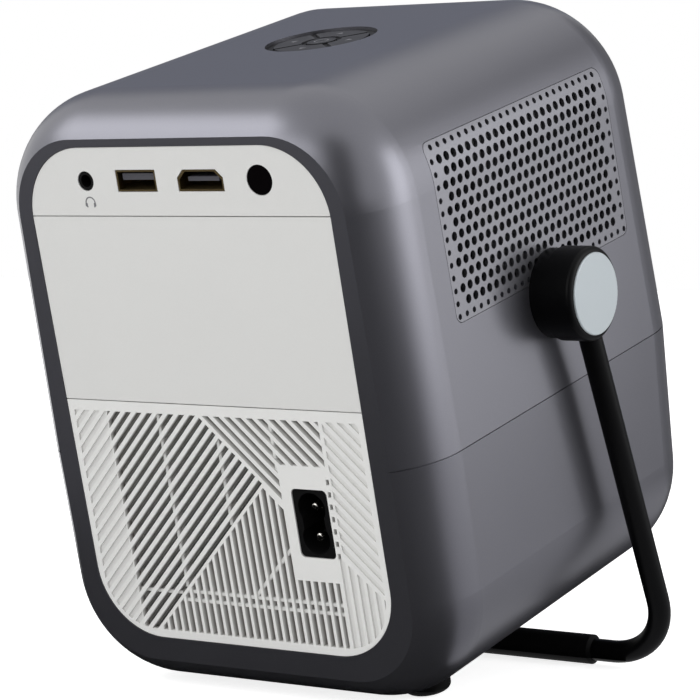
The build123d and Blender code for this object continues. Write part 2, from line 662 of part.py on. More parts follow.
def make_lens_bezel():
    """Trim ring round the lens opening, lying on the front panel."""
    ring = ring_y(FACE_Y - BEZEL_T, FACE_Y + RAKE, BEZEL_R, LENS_HOLE_R)
    ring = chamfer(ring.edges().filter_by(GeomType.CIRCLE).sort_by(Axis.Y)[:2], 0.5)
    return ring - housing_half(PANEL_RECESS, True, 0)


def make_focus_ring():
    """Ribbed ring that the fingers turn, running on the nose of the optical block."""
    front = FACE_Y - BEZEL_T - FOCUS_PROUD
    ring = ring_y(front, front + FOCUS_LENGTH, FOCUS_R, NOSE_R + RUN_GAP)
    rib = along_y(front + 1.2, front + 6, 0, 0, 0.45)
    grooves = []
    for step in range(FOCUS_RIBS):
        turn = 2 * math.pi * step / FOCUS_RIBS
        grooves.append(Pos(FOCUS_R * math.cos(turn), 0, LENS_Z + FOCUS_R * math.sin(turn)) * rib)
    lip = ring_y(front, front + 1.0, NOSE_R + 1, NOSE_BORE_R + 1.2)
    return ring - grooves + lip


def make_engine_case():
    """Optical block: a box for the panel and lenses, a nose for the barrel, legs below and posts above."""
    w, t = ENGINE_HALF_W, ENGINE_WALL
    case = block(-w, w, ENGINE_Y0, ENGINE_Y1, ENGINE_Z0, ENGINE_Z1)
    case -= block(-w + t, w - t, ENGINE_Y0 + t, ENGINE_Y1 - t, ENGINE_Z0 + t, ENGINE_Z1 - t)
    nose_end = FACE_Y - BEZEL_T - FOCUS_PROUD + 1.2
    case += along_y(ENGINE_Y0 + t, nose_end, 0, LENS_Z, NOSE_R)
    case -= along_y(ENGINE_Y0 + t + 1, nose_end - 1, 0, LENS_Z, NOSE_BORE_R)
    case -= along_y(ENGINE_Y1 - t - 1, ENGINE_Y1 + 1, 0, LENS_Z, CONDENSER_R)
    for x in (-w + 4, w - 4):
        for y in (ENGINE_Y0 + 4, ENGINE_Y1 - 4):
            case += along_z(SEAM_Z, ENGINE_Z0, x, y, 3)
            case += along_z(ENGINE_Z1, BOARD_Z0, x, y, 2.5)
    return case


BOARD_Z0 = PORT_Z - DATA_H / 2 - BOARD_T
CONDENSER_R = 18.0


BARREL_BORE_R = NOSE_BORE_R - RUN_GAP - BARREL_WALL
SEAT_FRONT = 4.0          # lens seats, measured from the ends of the barrel
SEAT_REAR = 6.0
SEAT_T = 1.5


def make_barrel():
    """Lens barrel that slides in the nose as the focus ring turns."""
    front = FACE_Y + BARREL_SET_BACK
    barrel = ring_y(front, front + BARREL_LENGTH, NOSE_BORE_R - RUN_GAP, BARREL_BORE_R)
    for seat in (front + SEAT_FRONT, front + BARREL_LENGTH - SEAT_REAR):
        barrel += ring_y(seat, seat + SEAT_T, BARREL_BORE_R + 0.2, BARREL_BORE_R - SEAT_T)
    return barrel


def lens_disc(y_back, radius, edge_t, bulge):
    """Round lens on the optical axis: flat towards the rear, crowned by bulge towards the front."""
    y_edge = y_back - edge_t
    curve_r = (radius ** 2 + bulge ** 2) / (2 * bulge)
    y_mid = y_edge - bulge + curve_r - math.sqrt(curve_r ** 2 - radius ** 2 / 4)
    outline = Polyline((0, y_edge - bulge), (0, y_back), (radius, y_back), (radius, y_edge)).edges()
    crown = ThreePointArc((radius, y_edge), (radius / 2, y_mid), (0, y_edge - bulge))
    return Pos(0, 0, LENS_Z) * revolve(make_face(outline + [crown]), Axis.Y, 360)


def make_front_lens():
    """Front lens of the barrel."""
    front = FACE_Y + BARREL_SET_BACK
    return lens_disc(front + SEAT_FRONT, BARREL_BORE_R, 1.4, 1.6)


def make_rear_lens():
    """Rear lens of the barrel."""
    front = FACE_Y + BARREL_SET_BACK
    return lens_disc(front + BARREL_LENGTH - SEAT_REAR, BARREL_BORE_R, 2.0, 1.6)


def plate_in_engine(y0, y1):
    """Flat plate that fills the optical block's cross-section."""
    w, t = ENGINE_HALF_W - ENGINE_WALL - FIT, ENGINE_WALL + FIT
    return block(-w, w, y0, y1, ENGINE_Z0 + t, ENGINE_Z1 - t)


def make_led_heatsink():
    """Finned aluminium block behind the lamp board."""
    back = ENGINE_Y1 + BOARD_T
    sink = block(-28, 28, back, back + 4, ENGINE_Z0 + 2, ENGINE_Z1 - 2)
    fins = [block(-28 + step * 4, -26.6 + step * 4, back + 4, back + 20, ENGINE_Z0 + 2, ENGINE_Z1 - 2)
            for step in range(14)]
    return sink + fins


def make_led_board():
    """Lamp board on the rear of the optical block, with its emitter."""
    board = block(-30, 30, ENGINE_Y1, ENGINE_Y1 + BOARD_T, ENGINE_Z0 + 1, ENGINE_Z1 - 1)
    return board + block(-6, 6, ENGINE_Y1 - 1.5, ENGINE_Y1, LENS_Z - 6, LENS_Z + 6)


# ---- boards ------------------------------------------------------------------------------------------------
def make_main_board():
    """Main board on the optical block's posts, carrying the sockets, with a shielded processor."""
    board = block(-41, 41, ENGINE_Y0, -6.5, BOARD_Z0, BOARD_Z0 + BOARD_T)
    board += block(-14, 14, -62, -34, BOARD_Z0 + BOARD_T, BOARD_Z0 + BOARD_T + 3)
    return board + block(24, 34, -60, -40, BOARD_Z0 + BOARD_T, BOARD_Z0 + BOARD_T + 2)


def make_ir_receiver():
    """Remote receiver standing on the main board behind its window."""
    top = BOARD_Z0 + BOARD_T
    return block(IR_X - 3, IR_X + 3, -7.0, -11.5, top, PORT_Z + 3.4)


POWER_Z = LOADER_Z1 + 3.0
POWER_X0, POWER_X1 = -59.0, -18.0
POWER_Y0, POWER_Y1 = -108.0, -24.0


def make_power_board():
    """Power board on posts above the loader."""
    board = block(POWER_X0, POWER_X1, POWER_Y0, POWER_Y1, POWER_Z, POWER_Z + BOARD_T)
    for x in (POWER_X0 + 4, POWER_X1 - 4):
        for y in (POWER_Y0 + 4, POWER_Y1 - 4):
            board += along_z(LOADER_Z1, POWER_Z, x, y, 2.5)
    return board


def make_power_parts():
    """Transformer, capacitor and heat-spreading plate on the power board."""
    top = POWER_Z + BOARD_T
    transformer = block(-46, -24, -84, -60, top, top + 20)
    capacitor = along_z(top, top + 22, -50, -44, 8)
    spreader = block(-57, -55, -100, -66, top, top + 18)
    choke = along_z(top, top + 12, -30, -44, 7)
    return [transformer, capacitor, spreader, choke]


def make_chassis_plate():
    """Plate on the lower shell's ledges, under the optical block."""
    plate = block(-HALF_W_SEAM, HALF_W_SEAM, CHASSIS_Y1, CHASSIS_Y0, SEAM_Z - CHASSIS_T, SEAM_Z) & CAVITY_BASE
    return plate - block(-24, 24, -100, -55, SEAM_Z - 5, SEAM_Z + 5)


# ---- fan -------------------------------------------------------------------------------------------------
def make_fan_frame():
    """Square fan frame with its motor plate, on the rear of the vent panel."""
    y1, y0 = -FAN_BACK, -FAN_BACK - FAN_T
    half = FAN_SIZE / 2
    frame = block(FAN_X - half, FAN_X + half, y0, y1, FAN_Z - half, FAN_Z + half)
    frame -= along_y(y0 - 1, y1 + 1, FAN_X, FAN_Z, FAN_BORE_R)
    frame += along_y(y0, y0 + 1.6, FAN_X, FAN_Z, FAN_HUB_R)
    hub_place = Pos(FAN_X, y0 + 0.8, FAN_Z)
    for turn in (20, 110, 200, 290):
        strut = Rot(0, turn, 0) * Pos((FAN_BORE_R + FAN_HUB_R) / 2, 0, 0)
        frame += hub_place * strut * Box(FAN_BORE_R - FAN_HUB_R + 3, 1.6, 2)
    frame += [block(x - 1.5, x + 1.5, y1, -REAR_WALL - PANEL_FLANGE, z - 1.5, z + 1.5)
              for x in (FAN_X - half + 3, FAN_X + half - 3) for z in (FAN_Z - half + 3, FAN_Z + half - 3)]
    return frame - along_y(y0 - 1, y1, FAN_X, FAN_Z, 1.5 + RUN_GAP)


def make_fan_rotor():
    """Fan hub with its shaft and blades."""
    y1, y0 = -FAN_BACK - 0.8, -FAN_BACK - FAN_T + 2.4
    hub = along_y(y0, y1, FAN_X, FAN_Z, FAN_HUB_R)
    hub += along_y(y0 - 2.4, y0, FAN_X, FAN_Z, 1.5)
    middle = (y0 + y1) / 2
    reach = FAN_BLADE_R - FAN_HUB_R + 1.5
    for step in range(FAN_BLADES):
        turn = Rot(0, 360 * step / FAN_BLADES, 0) * Pos(FAN_HUB_R - 1.5 + reach / 2, 0, 0) * Rot(38, 0, 0)
        blade = turn * Box(reach, 12.0, 1.1)
        hub += Pos(FAN_X, middle, FAN_Z) * blade
    drum = along_y(y0, y1, FAN_X, FAN_Z, FAN_BLADE_R) + along_y(y0 - 3, y0, FAN_X, FAN_Z, 1.5)
    return hub & drum


# ---- disc loader -----------------------------------------------------------------------------------------
def loader_outline(grow):
    """Plan outline of the loader, with large corner rounds that follow the housing."""
    y_mid = (LOADER_Y0 + LOADER_Y1) / 2
    width, length = 2 * (LOADER_HALF_W + grow), LOADER_Y1 - LOADER_Y0 + 2 * grow
    return Pos(0, y_mid) * RectangleRounded(width, length, LOADER_CORNER + grow)


def slab(outline, z0, z1):
    """Plan outline extruded between two levels."""
    return extrude(Plane.XY.offset(z0) * outline, z1 - z0, dir=(0, 0, 1))


def make_loader_chassis():
    """Sheet-metal floor and side walls of the loader, open at the front and behind the disc."""
    pan = slab(loader_outline(0), LOADER_Z0, LOADER_Z1 - LOADER_SHEET)
    pan -= slab(loader_outline(-LOADER_SHEET), LOADER_Z0 + LOADER_SHEET, LOADER_Z1)
    floor, top = LOADER_Z0 + LOADER_SHEET, LOADER_Z1
    mouth = block(-LOADER_HALF_W - 1, LOADER_HALF_W + 1, LOADER_Y0 - 1, LOADER_Y0 + LOADER_CORNER, floor, top)
    gap_half_w = LOADER_HALF_W - LOADER_CORNER
    rear_gap = block(-gap_half_w, gap_half_w, LOADER_Y1 - 2 * LOADER_SHEET, LOADER_Y1 + 1, floor, top)
    return pan - mouth - rear_gap


def make_loader_cover():
    """Sheet-metal lid of the loader."""
    return slab(loader_outline(0), LOADER_Z1 - LOADER_SHEET, LOADER_Z1)


def rail_box(side, grow):
    """Side rail between the chassis wall and the tray."""
    inner = TRAY_CORE_HALF_W + SLIDE_GAP
    y0 = LOADER_Y0 + LOADER_CORNER
    return block(side * (inner - grow), side * (inner + RAIL_W + grow), y0, y0 + RAIL_LENGTH - LOADER_CORNER,
                 TRAY_CORE_Z0 - grow, TRAY_PLATE_Z0 - SLIDE_GAP + grow)


def make_rails():
    """Two rails that run out half as far as the tray."""
    return both_sides(lambda side: rail_box(side, 0))


def beside_spindle(shape):
    """Place a shape drawn along +Y from the spindle on the sled's slanting path."""
    return Pos(0, DISC_Y, 0) * Rot(0, 0, SLED_TURN) * shape


def make_disc_tray():
    """Tray with the disc recess, the motor opening and the sled's window."""
    middle, length = (TRAY_FRONT_Y + TRAY_BACK_Y) / 2, TRAY_BACK_Y - TRAY_FRONT_Y
    upper = Pos(0, middle) * RectangleRounded(2 * TRAY_HALF_W, length, TRAY_CORNER)
    core = Pos(0, middle) * RectangleRounded(2 * TRAY_CORE_HALF_W, length, TRAY_CORNER)
    tray = slab(upper, TRAY_PLATE_Z0, TRAY_PLATE_Z1) + slab(core, TRAY_CORE_Z0, TRAY_PLATE_Z0)
    tray -= along_z(TRAY_PLATE_Z1 - POCKET_DEPTH, TRAY_PLATE_Z1 + 1, 0, DISC_Y, DISC_POCKET_R)
    tray -= along_z(TRAY_CORE_Z0 - 1, TRAY_PLATE_Z1 + 1, 0, DISC_Y, MOTOR_R + FIT)
    far = SLED_START + SLED_LENGTH + SLED_TRAVEL
    window = block(-SLED_HALF_W - 1, SLED_HALF_W + 1, MOTOR_R / 2, far + 1,
                   TRAY_CORE_Z0 - 1, TRAY_PLATE_Z1 + 1)
    return tray - beside_spindle(window) - make_sled_rods()


def make_tray_bezel():
    """Front strip of the tray, a piece of the housing's rounded front, with the eject opening."""
    gap = SLIDE_GAP
    opening = block(-SLOT_HALF_W + gap, SLOT_HALF_W - gap, -DEPTH - 1, LOADER_Y0 + SLOT_BACK,
                    SLOT_Z0 + gap, SLOT_Z1 - gap)
    strip = (OUTER_BASE - CAVITY_BASE) & opening
    backing = OUTER_BASE & block(-40, 40, -DEPTH - 1, TRAY_FRONT_Y, TRAY_CORE_Z0 + 0.4, TRAY_PLATE_Z0)
    half_w, half_h = EJECT_W / 2 + gap, EJECT_H / 2 + gap
    eject = block(EJECT_X - half_w, EJECT_X + half_w, -DEPTH - 1, LOADER_Y0 + 6,
                  EJECT_Z - half_h, EJECT_Z + half_h)
    return strip + backing - eject


def make_eject_button():
    """Eject button in the tray's front strip."""
    half_w, half_h = EJECT_W / 2, EJECT_H / 2
    button = block(EJECT_X - half_w, EJECT_X + half_w, -DEPTH - 1, TRAY_FRONT_Y - EJECT_TRAVEL - 0.1,
                   EJECT_Z - half_h, EJECT_Z + half_h)
    return button & OUTER_BASE


def make_spindle_motor():
    """Flat motor in the tray's centre hole."""
    motor = along_z(TRAY_CORE_Z0, TRAY_CORE_Z0 + 1.2, 0, DISC_Y, MOTOR_R)
    motor += along_z(TRAY_CORE_Z0, TURNTABLE_Z - 0.4, 0, DISC_Y, MOTOR_CORE_R)
    return motor - along_z(TRAY_CORE_Z0 + 1.0, TURNTABLE_Z + 1, 0, DISC_Y, SPINDLE_R + RUN_GAP)


TURNTABLE_Z = 28.2


def make_turntable():
    """Turntable with its shaft and the centring cone that the disc snaps onto."""
    top = TRAY_PLATE_Z1 - POCKET_DEPTH + 0.6
    table = along_z(TURNTABLE_Z, top, 0, DISC_Y, TURNTABLE_R)
    hub = along_z(top, top + 2.6, 0, DISC_Y, DISC_HUB_R)
    hub = chamfer(hub.edges().filter_by(GeomType.CIRCLE).sort_by(Axis.Z)[-1], 0.8)
    return table + hub + along_z(TRAY_CORE_Z0 + 1.3, TURNTABLE_Z, 0, DISC_Y, SPINDLE_R)


def make_sled_rods():
    """Two guide rods in the tray for the pickup sled."""
    far = SLED_START + SLED_LENGTH + SLED_TRAVEL + 2.5
    return both_sides(
        lambda side: beside_spindle(along_y(MOTOR_R + 0.8, far, side * SLED_ROD_X, SLED_Z, SLED_ROD_R)))


def make_pickup_sled():
    """Pickup sled on its rods, with the objective lens on top."""
    y0, y1 = SLED_START, SLED_START + SLED_LENGTH
    sled = block(-SLED_HALF_W, SLED_HALF_W, y0, y1, TRAY_CORE_Z0 + 0.3, TRAY_PLATE_Z0 - 0.4)
    sled += along_z(TRAY_PLATE_Z0 - 0.4, TRAY_PLATE_Z0 + 0.4, 0, (y0 + y1) / 2, 3.4)
    for x in (-SLED_ROD_X, SLED_ROD_X):
        sled -= along_y(y0 - 1, y1 + 1, x, SLED_Z, SLED_ROD_R + RUN_GAP)
    return beside_spindle(sled)


# ---- keypad ------------------------------------------------------------------------------------------------
def key_outline(index, grow):
    """Plan outline of a key about the keypad's centre: 0 is the round centre key, 1 to 4 the ring sectors."""
    if index == 0:
        return Circle(KEY_OK_R + grow)
    ring = Circle(KEY_RING_OUT + grow) - Circle(KEY_RING_IN - grow)
    inset = KEY_GAP / 2 - grow
    reach = 2 * KEY_RING_OUT
    wedge = Polygon((inset * math.sqrt(2), 0), (reach + inset * math.sqrt(2), reach),
                    (reach + inset * math.sqrt(2), -reach), align=None)
    return Rot(0, 0, 90 * (index - 1)) * (ring & wedge)


PAD_TOP = HEIGHT - KEYPAD_RECESS
PAD_BASE = HEIGHT - WALL - 1.8
PAD_SKIRT = 1.8


def make_key(index):
    """One key with the lip that keeps it under the keypad plate."""
    stem = slab(key_outline(index, 0), PAD_BASE - 0.1, PAD_TOP + KEY_PROUD)
    lip = slab(key_outline(index, KEY_LIP), PAD_BASE - 0.9, PAD_BASE - 0.1)
    return Pos(0, KEYPAD_Y, 0) * (stem + lip)


def make_keypad_plate():
    """Round plate in the top of the housing with an opening for each key."""
    plate = slab(Circle(KEYPAD_R), PAD_BASE, PAD_TOP) + slab(Circle(KEYPAD_R + 2.4), PAD_BASE, HEIGHT - WALL)
    for index in range(5):
        plate -= slab(key_outline(index, SLIDE_GAP), PAD_BASE - 1, PAD_TOP + 1)
    skirt = Circle(KEYPAD_R + 2.4) - Circle(KEY_RING_OUT + KEY_LIP + 0.6)
    return Pos(0, KEYPAD_Y, 0) * (plate + slab(skirt, PAD_BASE - PAD_SKIRT, PAD_BASE))


def make_keypad_board():
    """Switch board under the keys."""
    z1 = PAD_BASE - PAD_SKIRT
    return Pos(0, KEYPAD_Y, 0) * slab(Circle(KEYPAD_R + 2.4), z1 - 1.2, z1)


# ---- stand, hubs, feet -------------------------------------------------------------------------------------
def make_hub_bases():
    """Fixed hub bases on the side walls."""
    def base(side):
        boss = along_x(side * (HALF_W_TOP - 4), side * HUB_BASE_X, PIVOT_Y, PIVOT_Z, HUB_R - 0.6)
        boss -= OUTER_TOP
        return boss - along_x(side * 50, side * (HUB_BASE_X + 1), PIVOT_Y, PIVOT_Z, SHAFT_R + RUN_GAP)
    return both_sides(base)


def swing(shape):
    """Turn a shape drawn hanging straight down to where the stand rests."""
    return Pos(0, PIVOT_Y, PIVOT_Z) * Rot(-STAND_SWING, 0, 0) * shape


def make_stand_frame():
    """Bent round bar: two arms and the cross bar, hanging from the pivot line."""
    x, reach, r = STAND_ARM_X, STAND_REACH, STAND_BEND_R
    start = -(HUB_R - 5.5)
    path = FilletPolyline((x, 0, start), (x, 0, -reach), (-x, 0, -reach), (-x, 0, start), radius=r)
    section = Plane(origin=(x, 0, start), z_dir=(0, 0, -1)) * Circle(STAND_R)
    return swing(sweep(section, path))


def make_stand_sleeve():
    """Rubber sleeve on the cross bar, with bevelled ends."""
    sleeve = along_x(-SLEEVE_HALF, SLEEVE_HALF, 0, -STAND_REACH, SLEEVE_R)
    sleeve = chamfer(sleeve.edges().filter_by(GeomType.CIRCLE), (SLEEVE_R - STAND_R) * 0.8)
    return swing(sleeve - along_x(-SLEEVE_HALF - 1, SLEEVE_HALF + 1, 0, -STAND_REACH, STAND_R))


def make_hub_heads():
    """Turning hub heads that hold the arms."""
    def head(side):
        body = along_x(side * (HUB_BASE_X + SLIDE_GAP), side * HUB_OUT_X, 0, 0, HUB_R)
        rims = body.edges().filter_by(GeomType.CIRCLE).sort_by(Axis.X)
        body = fillet(rims[-1] if side > 0 else rims[0], HUB_ROUND)
        cap_x = HUB_OUT_X - CAP_T + CAP_PROUD
        body -= along_x(side * cap_x, side * (HUB_OUT_X + 1), 0, 0, CAP_R)
        body -= along_x(side * 60, side * SHAFT_END_X, 0, 0, SHAFT_R)
        return swing(body) - STAND_FRAME
    return both_sides(head)


SHAFT_STANDOUT = 9.0
SHAFT_REACH_IN = 6.0
SHAFT_END_X = HALF_W_SEAM + SHAFT_STANDOUT
SHAFT_IN_X = HALF_W_TOP - SHAFT_REACH_IN


def make_hub_caps():
    """Silver discs in the hub heads."""
    def cap(side):
        inner = HUB_OUT_X - CAP_T + CAP_PROUD
        disc = along_x(side * inner, side * (inner + CAP_T), 0, 0, CAP_R)
        rims = disc.edges().filter_by(GeomType.CIRCLE).sort_by(Axis.X)
        return swing(fillet(rims[-1] if side > 0 else rims[0], 0.3))
    return both_sides(cap)


def make_pivot_shafts():
    """Hinge shafts with the heads that hold them inside the housing."""
    def shaft(side):
        pin = along_x(side * SHAFT_IN_X, side * SHAFT_END_X, 0, 0, SHAFT_R)
        head_x = HALF_W_TOP - WALL - SLIDE_GAP
        head = along_x(side * (head_x - SHAFT_HEAD_T), side * head_x, 0, 0, SHAFT_HEAD_R)
        return swing(pin + head) - STAND_FRAME
    return both_sides(shaft)


def make_feet():
    """Four round rubber feet under the lower shell."""
    feet = []
    for x, y in FOOT_PLACES:
        foot = along_z(-FOOT_H, WALL, x, y, FOOT_R)
        foot = fillet(foot.edges().filter_by(GeomType.CIRCLE).sort_by(Axis.Z)[0], FOOT_ROUND)
        foot -= OUTER_BASE
        foot -= along_z(-FOOT_H - 1, -FOOT_H + 1.8, x, y, SCREW_HEAD_R + FIT)
        feet.append(foot - along_z(-FOOT_H, WALL, x, y, SCREW_R))
    return feet


def make_foot_screws():
    """Screws that hold the feet and close the lower shell."""
    screws = []
    for x, y in FOOT_PLACES:
        head = along_z(-FOOT_H + 0.4, -FOOT_H + 1.8, x, y, SCREW_HEAD_R)
        head -= block(x - 1.8, x + 1.8, y - 0.3, y + 0.3, -FOOT_H, -FOOT_H + 1.0)
        head -= block(x - 0.3, x + 0.3, y - 1.8, y + 1.8, -FOOT_H, -FOOT_H + 1.0)
        screws.append(head + along_z(-FOOT_H + 1.8, 2 * WALL + 2, x, y, SCREW_R))
    return screws


STAND_FRAME = make_stand_frame()

NODES = {
    "upper_housing": make_upper_housing(),
    "lower_housing": make_lower_housing(),
    "port_panel": make_port_panel(),
    "rear_cover": make_rear_cover(),
    "rear_vent": make_rear_vent(),
    "grille_left": make_grille(1),
    "grille_right": make_grille(-1),
    "front_panel": make_front_panel(),
    "lens_bezel": make_lens_bezel(),
    "keypad_plate": make_keypad_plate(),
    "keypad_board": make_keypad_board(),
    "feet": make_feet(),
    "foot_screws": make_foot_screws(),
    "hub_bases": make_hub_bases(),
    "main_board": make_main_board(),
    "audio_jack": make_audio_jack(),
    "data_socket": make_data_socket(),
    "video_socket": make_video_socket(),
    "socket_tongues": make_socket_tongues(),
    "ir_window": make_ir_window(),
    "ir_receiver": make_ir_receiver(),
    "power_board": make_power_board(),
    "power_parts": make_power_parts(),
    "inlet_body": make_inlet_body(),
    "inlet_pins": make_inlet_pins(),
    "chassis_plate": make_chassis_plate(),
    "fan_frame": make_fan_frame(),
    "engine_case": make_engine_case(),
    "led_board": make_led_board(),
    "led_heatsink": make_led_heatsink(),
    "condenser_lens": lens_disc(ENGINE_Y1 - ENGINE_WALL, CONDENSER_R + 1.5, 3.0, 5.0),
    "fresnel_lenses": [plate_in_engine(ENGINE_Y0 + y, ENGINE_Y0 + y + 2) for y in (22, 10)],
    "lcd_panel": plate_in_engine(ENGINE_Y0 + 16, ENGINE_Y0 + 17.6),
    "speaker_left": make_speaker(1),
    "speaker_right": make_speaker(-1),
    "loader_chassis": make_loader_chassis(),
    "loader_cover": make_loader_cover(),
    "fan_rotor": make_fan_rotor(),
    "focus_ring": make_focus_ring(),
    "lens_barrel": make_barrel(),
    "front_lens": make_front_lens(),
    "rear_lens": make_rear_lens(),
    "key_ok": make_key(0),
    "key_right": make_key(1),
    "key_back": make_key(2),
    "key_left": make_key(3),
    "key_front": make_key(4),
    "disc_tray": make_disc_tray(),
    "tray_bezel": make_tray_bezel(),
    "eject_button": make_eject_button(),
    "spindle_motor": make_spindle_motor(),
    "sled_rods": make_sled_rods(),
    "turntable": make_turntable(),
    "pickup_sled": make_pickup_sled(),
    "tray_rails": make_rails(),
    "stand_frame": STAND_FRAME,
    "stand_sleeve": make_stand_sleeve(),
    "hub_heads": make_hub_heads(),
    "hub_caps": make_hub_caps(),
    "pivot_shafts": make_pivot_shafts(),
}

# ---- placing: lean back until the rear feet and the stand's sleeve share one plane ------------------
FOOT_EDGE = (FOOT_REAR_Y + FOOT_R - FOOT_ROUND, FOOT_ROUND - FOOT_H)
STAND_FOOT = (PIVOT_Y - STAND_REACH * math.sin(math.radians(STAND_SWING)),
              PIVOT_Z - STAND_REACH * math.cos(math.radians(STAND_SWING)))
REACH_Y, REACH_Z = FOOT_EDGE[0] - STAND_FOOT[0], FOOT_EDGE[1] - STAND_FOOT[1]
SLEEVE_RISE = math.asin((SLEEVE_R - FOOT_ROUND) / math.hypot(REACH_Y, REACH_Z))
LEAN = math.degrees(math.atan2(REACH_Z, REACH_Y) + SLEEVE_RISE)


def as_compound(shape):
    """One compound of the node's solids, leaned back."""
    pieces = shape if isinstance(shape, list) else [shape]
    solids = [solid for piece in pieces for solid in piece.solids()]
    return Rot(-LEAN, 0, 0) * Compound(solids)


placed = {name: as_compound(shape) for name, shape in NODES.items()}
bounds = [shape.bounding_box() for shape in placed.values()]
low = [min(getattr(box.min, axis) for box in bounds) for axis in "XYZ"]
high = [max(getattr(box.max, axis) for box in bounds) for axis in "XYZ"]
SHIFT = (-(low[0] + high[0]) / 2, -(low[1] + high[1]) / 2, -low[2])

os.makedirs("parts", exist_ok=True)
for name, shape in placed.items():
    export_step(Pos(*SHIFT) * shape, f"parts/{name}.step")
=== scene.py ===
"""A small portable projector with a disc drawer, seen from its rear corner as it leans back on its stand.

Lengths in the classes are millimetres of the upright device, whose rear face is at y = 0, underside at
z = 0 and middle at x = 0. Body turns them into the metres of the scene, where the device leans back on its
stand.
The studio's lamps, cards and camera are given in metres of the scene.
"""

import json
import logging
import math
from dataclasses import dataclass, field
from enum import Enum
from typing import Any, Optional, Sequence

import bmesh
import bpy
from mathutils import Matrix, Vector

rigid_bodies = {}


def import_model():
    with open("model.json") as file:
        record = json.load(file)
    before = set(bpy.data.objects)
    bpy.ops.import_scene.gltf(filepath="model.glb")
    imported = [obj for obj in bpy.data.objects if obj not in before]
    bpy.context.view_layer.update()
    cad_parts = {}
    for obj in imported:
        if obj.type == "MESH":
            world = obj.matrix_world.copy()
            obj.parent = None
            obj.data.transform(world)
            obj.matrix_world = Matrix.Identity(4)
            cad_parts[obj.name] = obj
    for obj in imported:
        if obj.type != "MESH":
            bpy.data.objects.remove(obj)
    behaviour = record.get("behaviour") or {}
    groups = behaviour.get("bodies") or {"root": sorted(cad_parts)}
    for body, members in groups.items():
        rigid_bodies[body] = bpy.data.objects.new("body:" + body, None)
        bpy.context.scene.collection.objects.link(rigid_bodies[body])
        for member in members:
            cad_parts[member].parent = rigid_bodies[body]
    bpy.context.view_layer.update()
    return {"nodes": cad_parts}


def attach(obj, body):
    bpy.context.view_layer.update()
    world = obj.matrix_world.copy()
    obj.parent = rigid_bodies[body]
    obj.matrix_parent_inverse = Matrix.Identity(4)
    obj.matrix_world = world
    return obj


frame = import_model()

LOG = logging.getLogger("projector")
MM = 0.001


# ---- small helpers ------------------------------------------------------------------------------------
def linear(code: str) -> tuple[float, float, float, float]:
    """Turns an sRGB hex colour into the linear values that a shader takes.

    Args:
        code: the colour as "#rrggbb".

    Returns:
        Linear red, green, blue and an alpha of 1.
    """
    parts = [int(code[i:i + 2], 16) / 255 for i in (1, 3, 5)]
    red, green, blue = (p / 12.92 if p <= 0.04045 else ((p + 0.055) / 1.055) ** 2.4 for p in parts)
    return red, green, blue, 1.0


def add_node(tree: bpy.types.NodeTree, kind: str, settings: Optional[dict[str, Any]] = None,
             links: Optional[dict[Any, Any]] = None) -> bpy.types.Node:
    """Adds a node with its settings and incoming links.

    Args:
        tree: the node tree that gets the node.
        kind: the node's type name.
        settings: property names and values, or socket names or numbers and their values.
        links: socket names or numbers of this node, each with the output socket that feeds it.

    Returns:
        The new node.
    """
    node = tree.nodes.new(kind)
    for name, value in (settings or {}).items():
        if isinstance(name, str) and hasattr(node, name):
            setattr(node, name, value)
        else:
            node.inputs[name].default_value = value
    for name, source in (links or {}).items():
        tree.links.new(source, node.inputs[name])
    return node


def new_material(name: str) -> tuple[bpy.types.Material, bpy.types.NodeTree, bpy.types.Node]:
    """Starts a material.

    Args:
        name: the material's name.

    Returns:
        The material, its tree and the tree's shader.
    """
    made = bpy.data.materials.new(name)
    made.use_nodes = True
    return made, made.node_tree, made.node_tree.nodes["Principled BSDF"]


@dataclass(frozen=True)
class Body:
    """How the upright device stands in the scene: tilted back about X, then moved onto the floor."""

    lean: float = math.radians(14.787606)
    shift_y: float = 44.9718
    shift_z: float = -2.1574

    def matrix(self) -> Matrix:
        """Gives the matrix from upright millimetres to the metres of the scene."""
        turn = Matrix.Rotation(-self.lean, 4, "X")
        return Matrix.Scale(MM, 4) @ Matrix.Translation((0, self.shift_y, self.shift_z)) @ turn


BODY = Body()
MERGE_MM = 1e-5         # points closer than this are one


def shade(mesh: bpy.types.Mesh, angle: float = 35.0) -> None:
    """Smooths a mesh's shading except over edges that are sharper than an angle.

    Args:
        mesh: the mesh.
        angle: the sharpest bend in degrees that still looks smooth.
    """
    work = bmesh.new()
    work.from_mesh(mesh)
    limit = math.radians(angle)
    for face in work.faces:
        face.smooth = True
    for edge in work.edges:
        edge.smooth = len(edge.link_faces) == 2 and edge.calc_face_angle(0.0) < limit
    work.to_mesh(mesh)
    work.free()


def bridge(work: bmesh.types.BMesh, rows: Sequence[Sequence[bmesh.types.BMVert]],
           closed: bool = False) -> None:
    """Joins rows of points by faces, as the cross-sections of a bar, a band or a thin disc.

    Args:
        work: the mesh.
        rows: the points of each cross-section, in the same order.
        closed: whether the last row joins the first. Otherwise the two end rows become faces.
    """
    follows = [*rows[1:], rows[0]] if closed else rows[1:]
    for row, after in zip(rows, follows):
        for k, point in enumerate(row):
            turn = (k + 1) % len(row)
            work.faces.new((point, row[turn], after[turn], after[k]))
    if not closed:
        work.faces.new(rows[0])
        work.faces.new(list(reversed(rows[-1])))


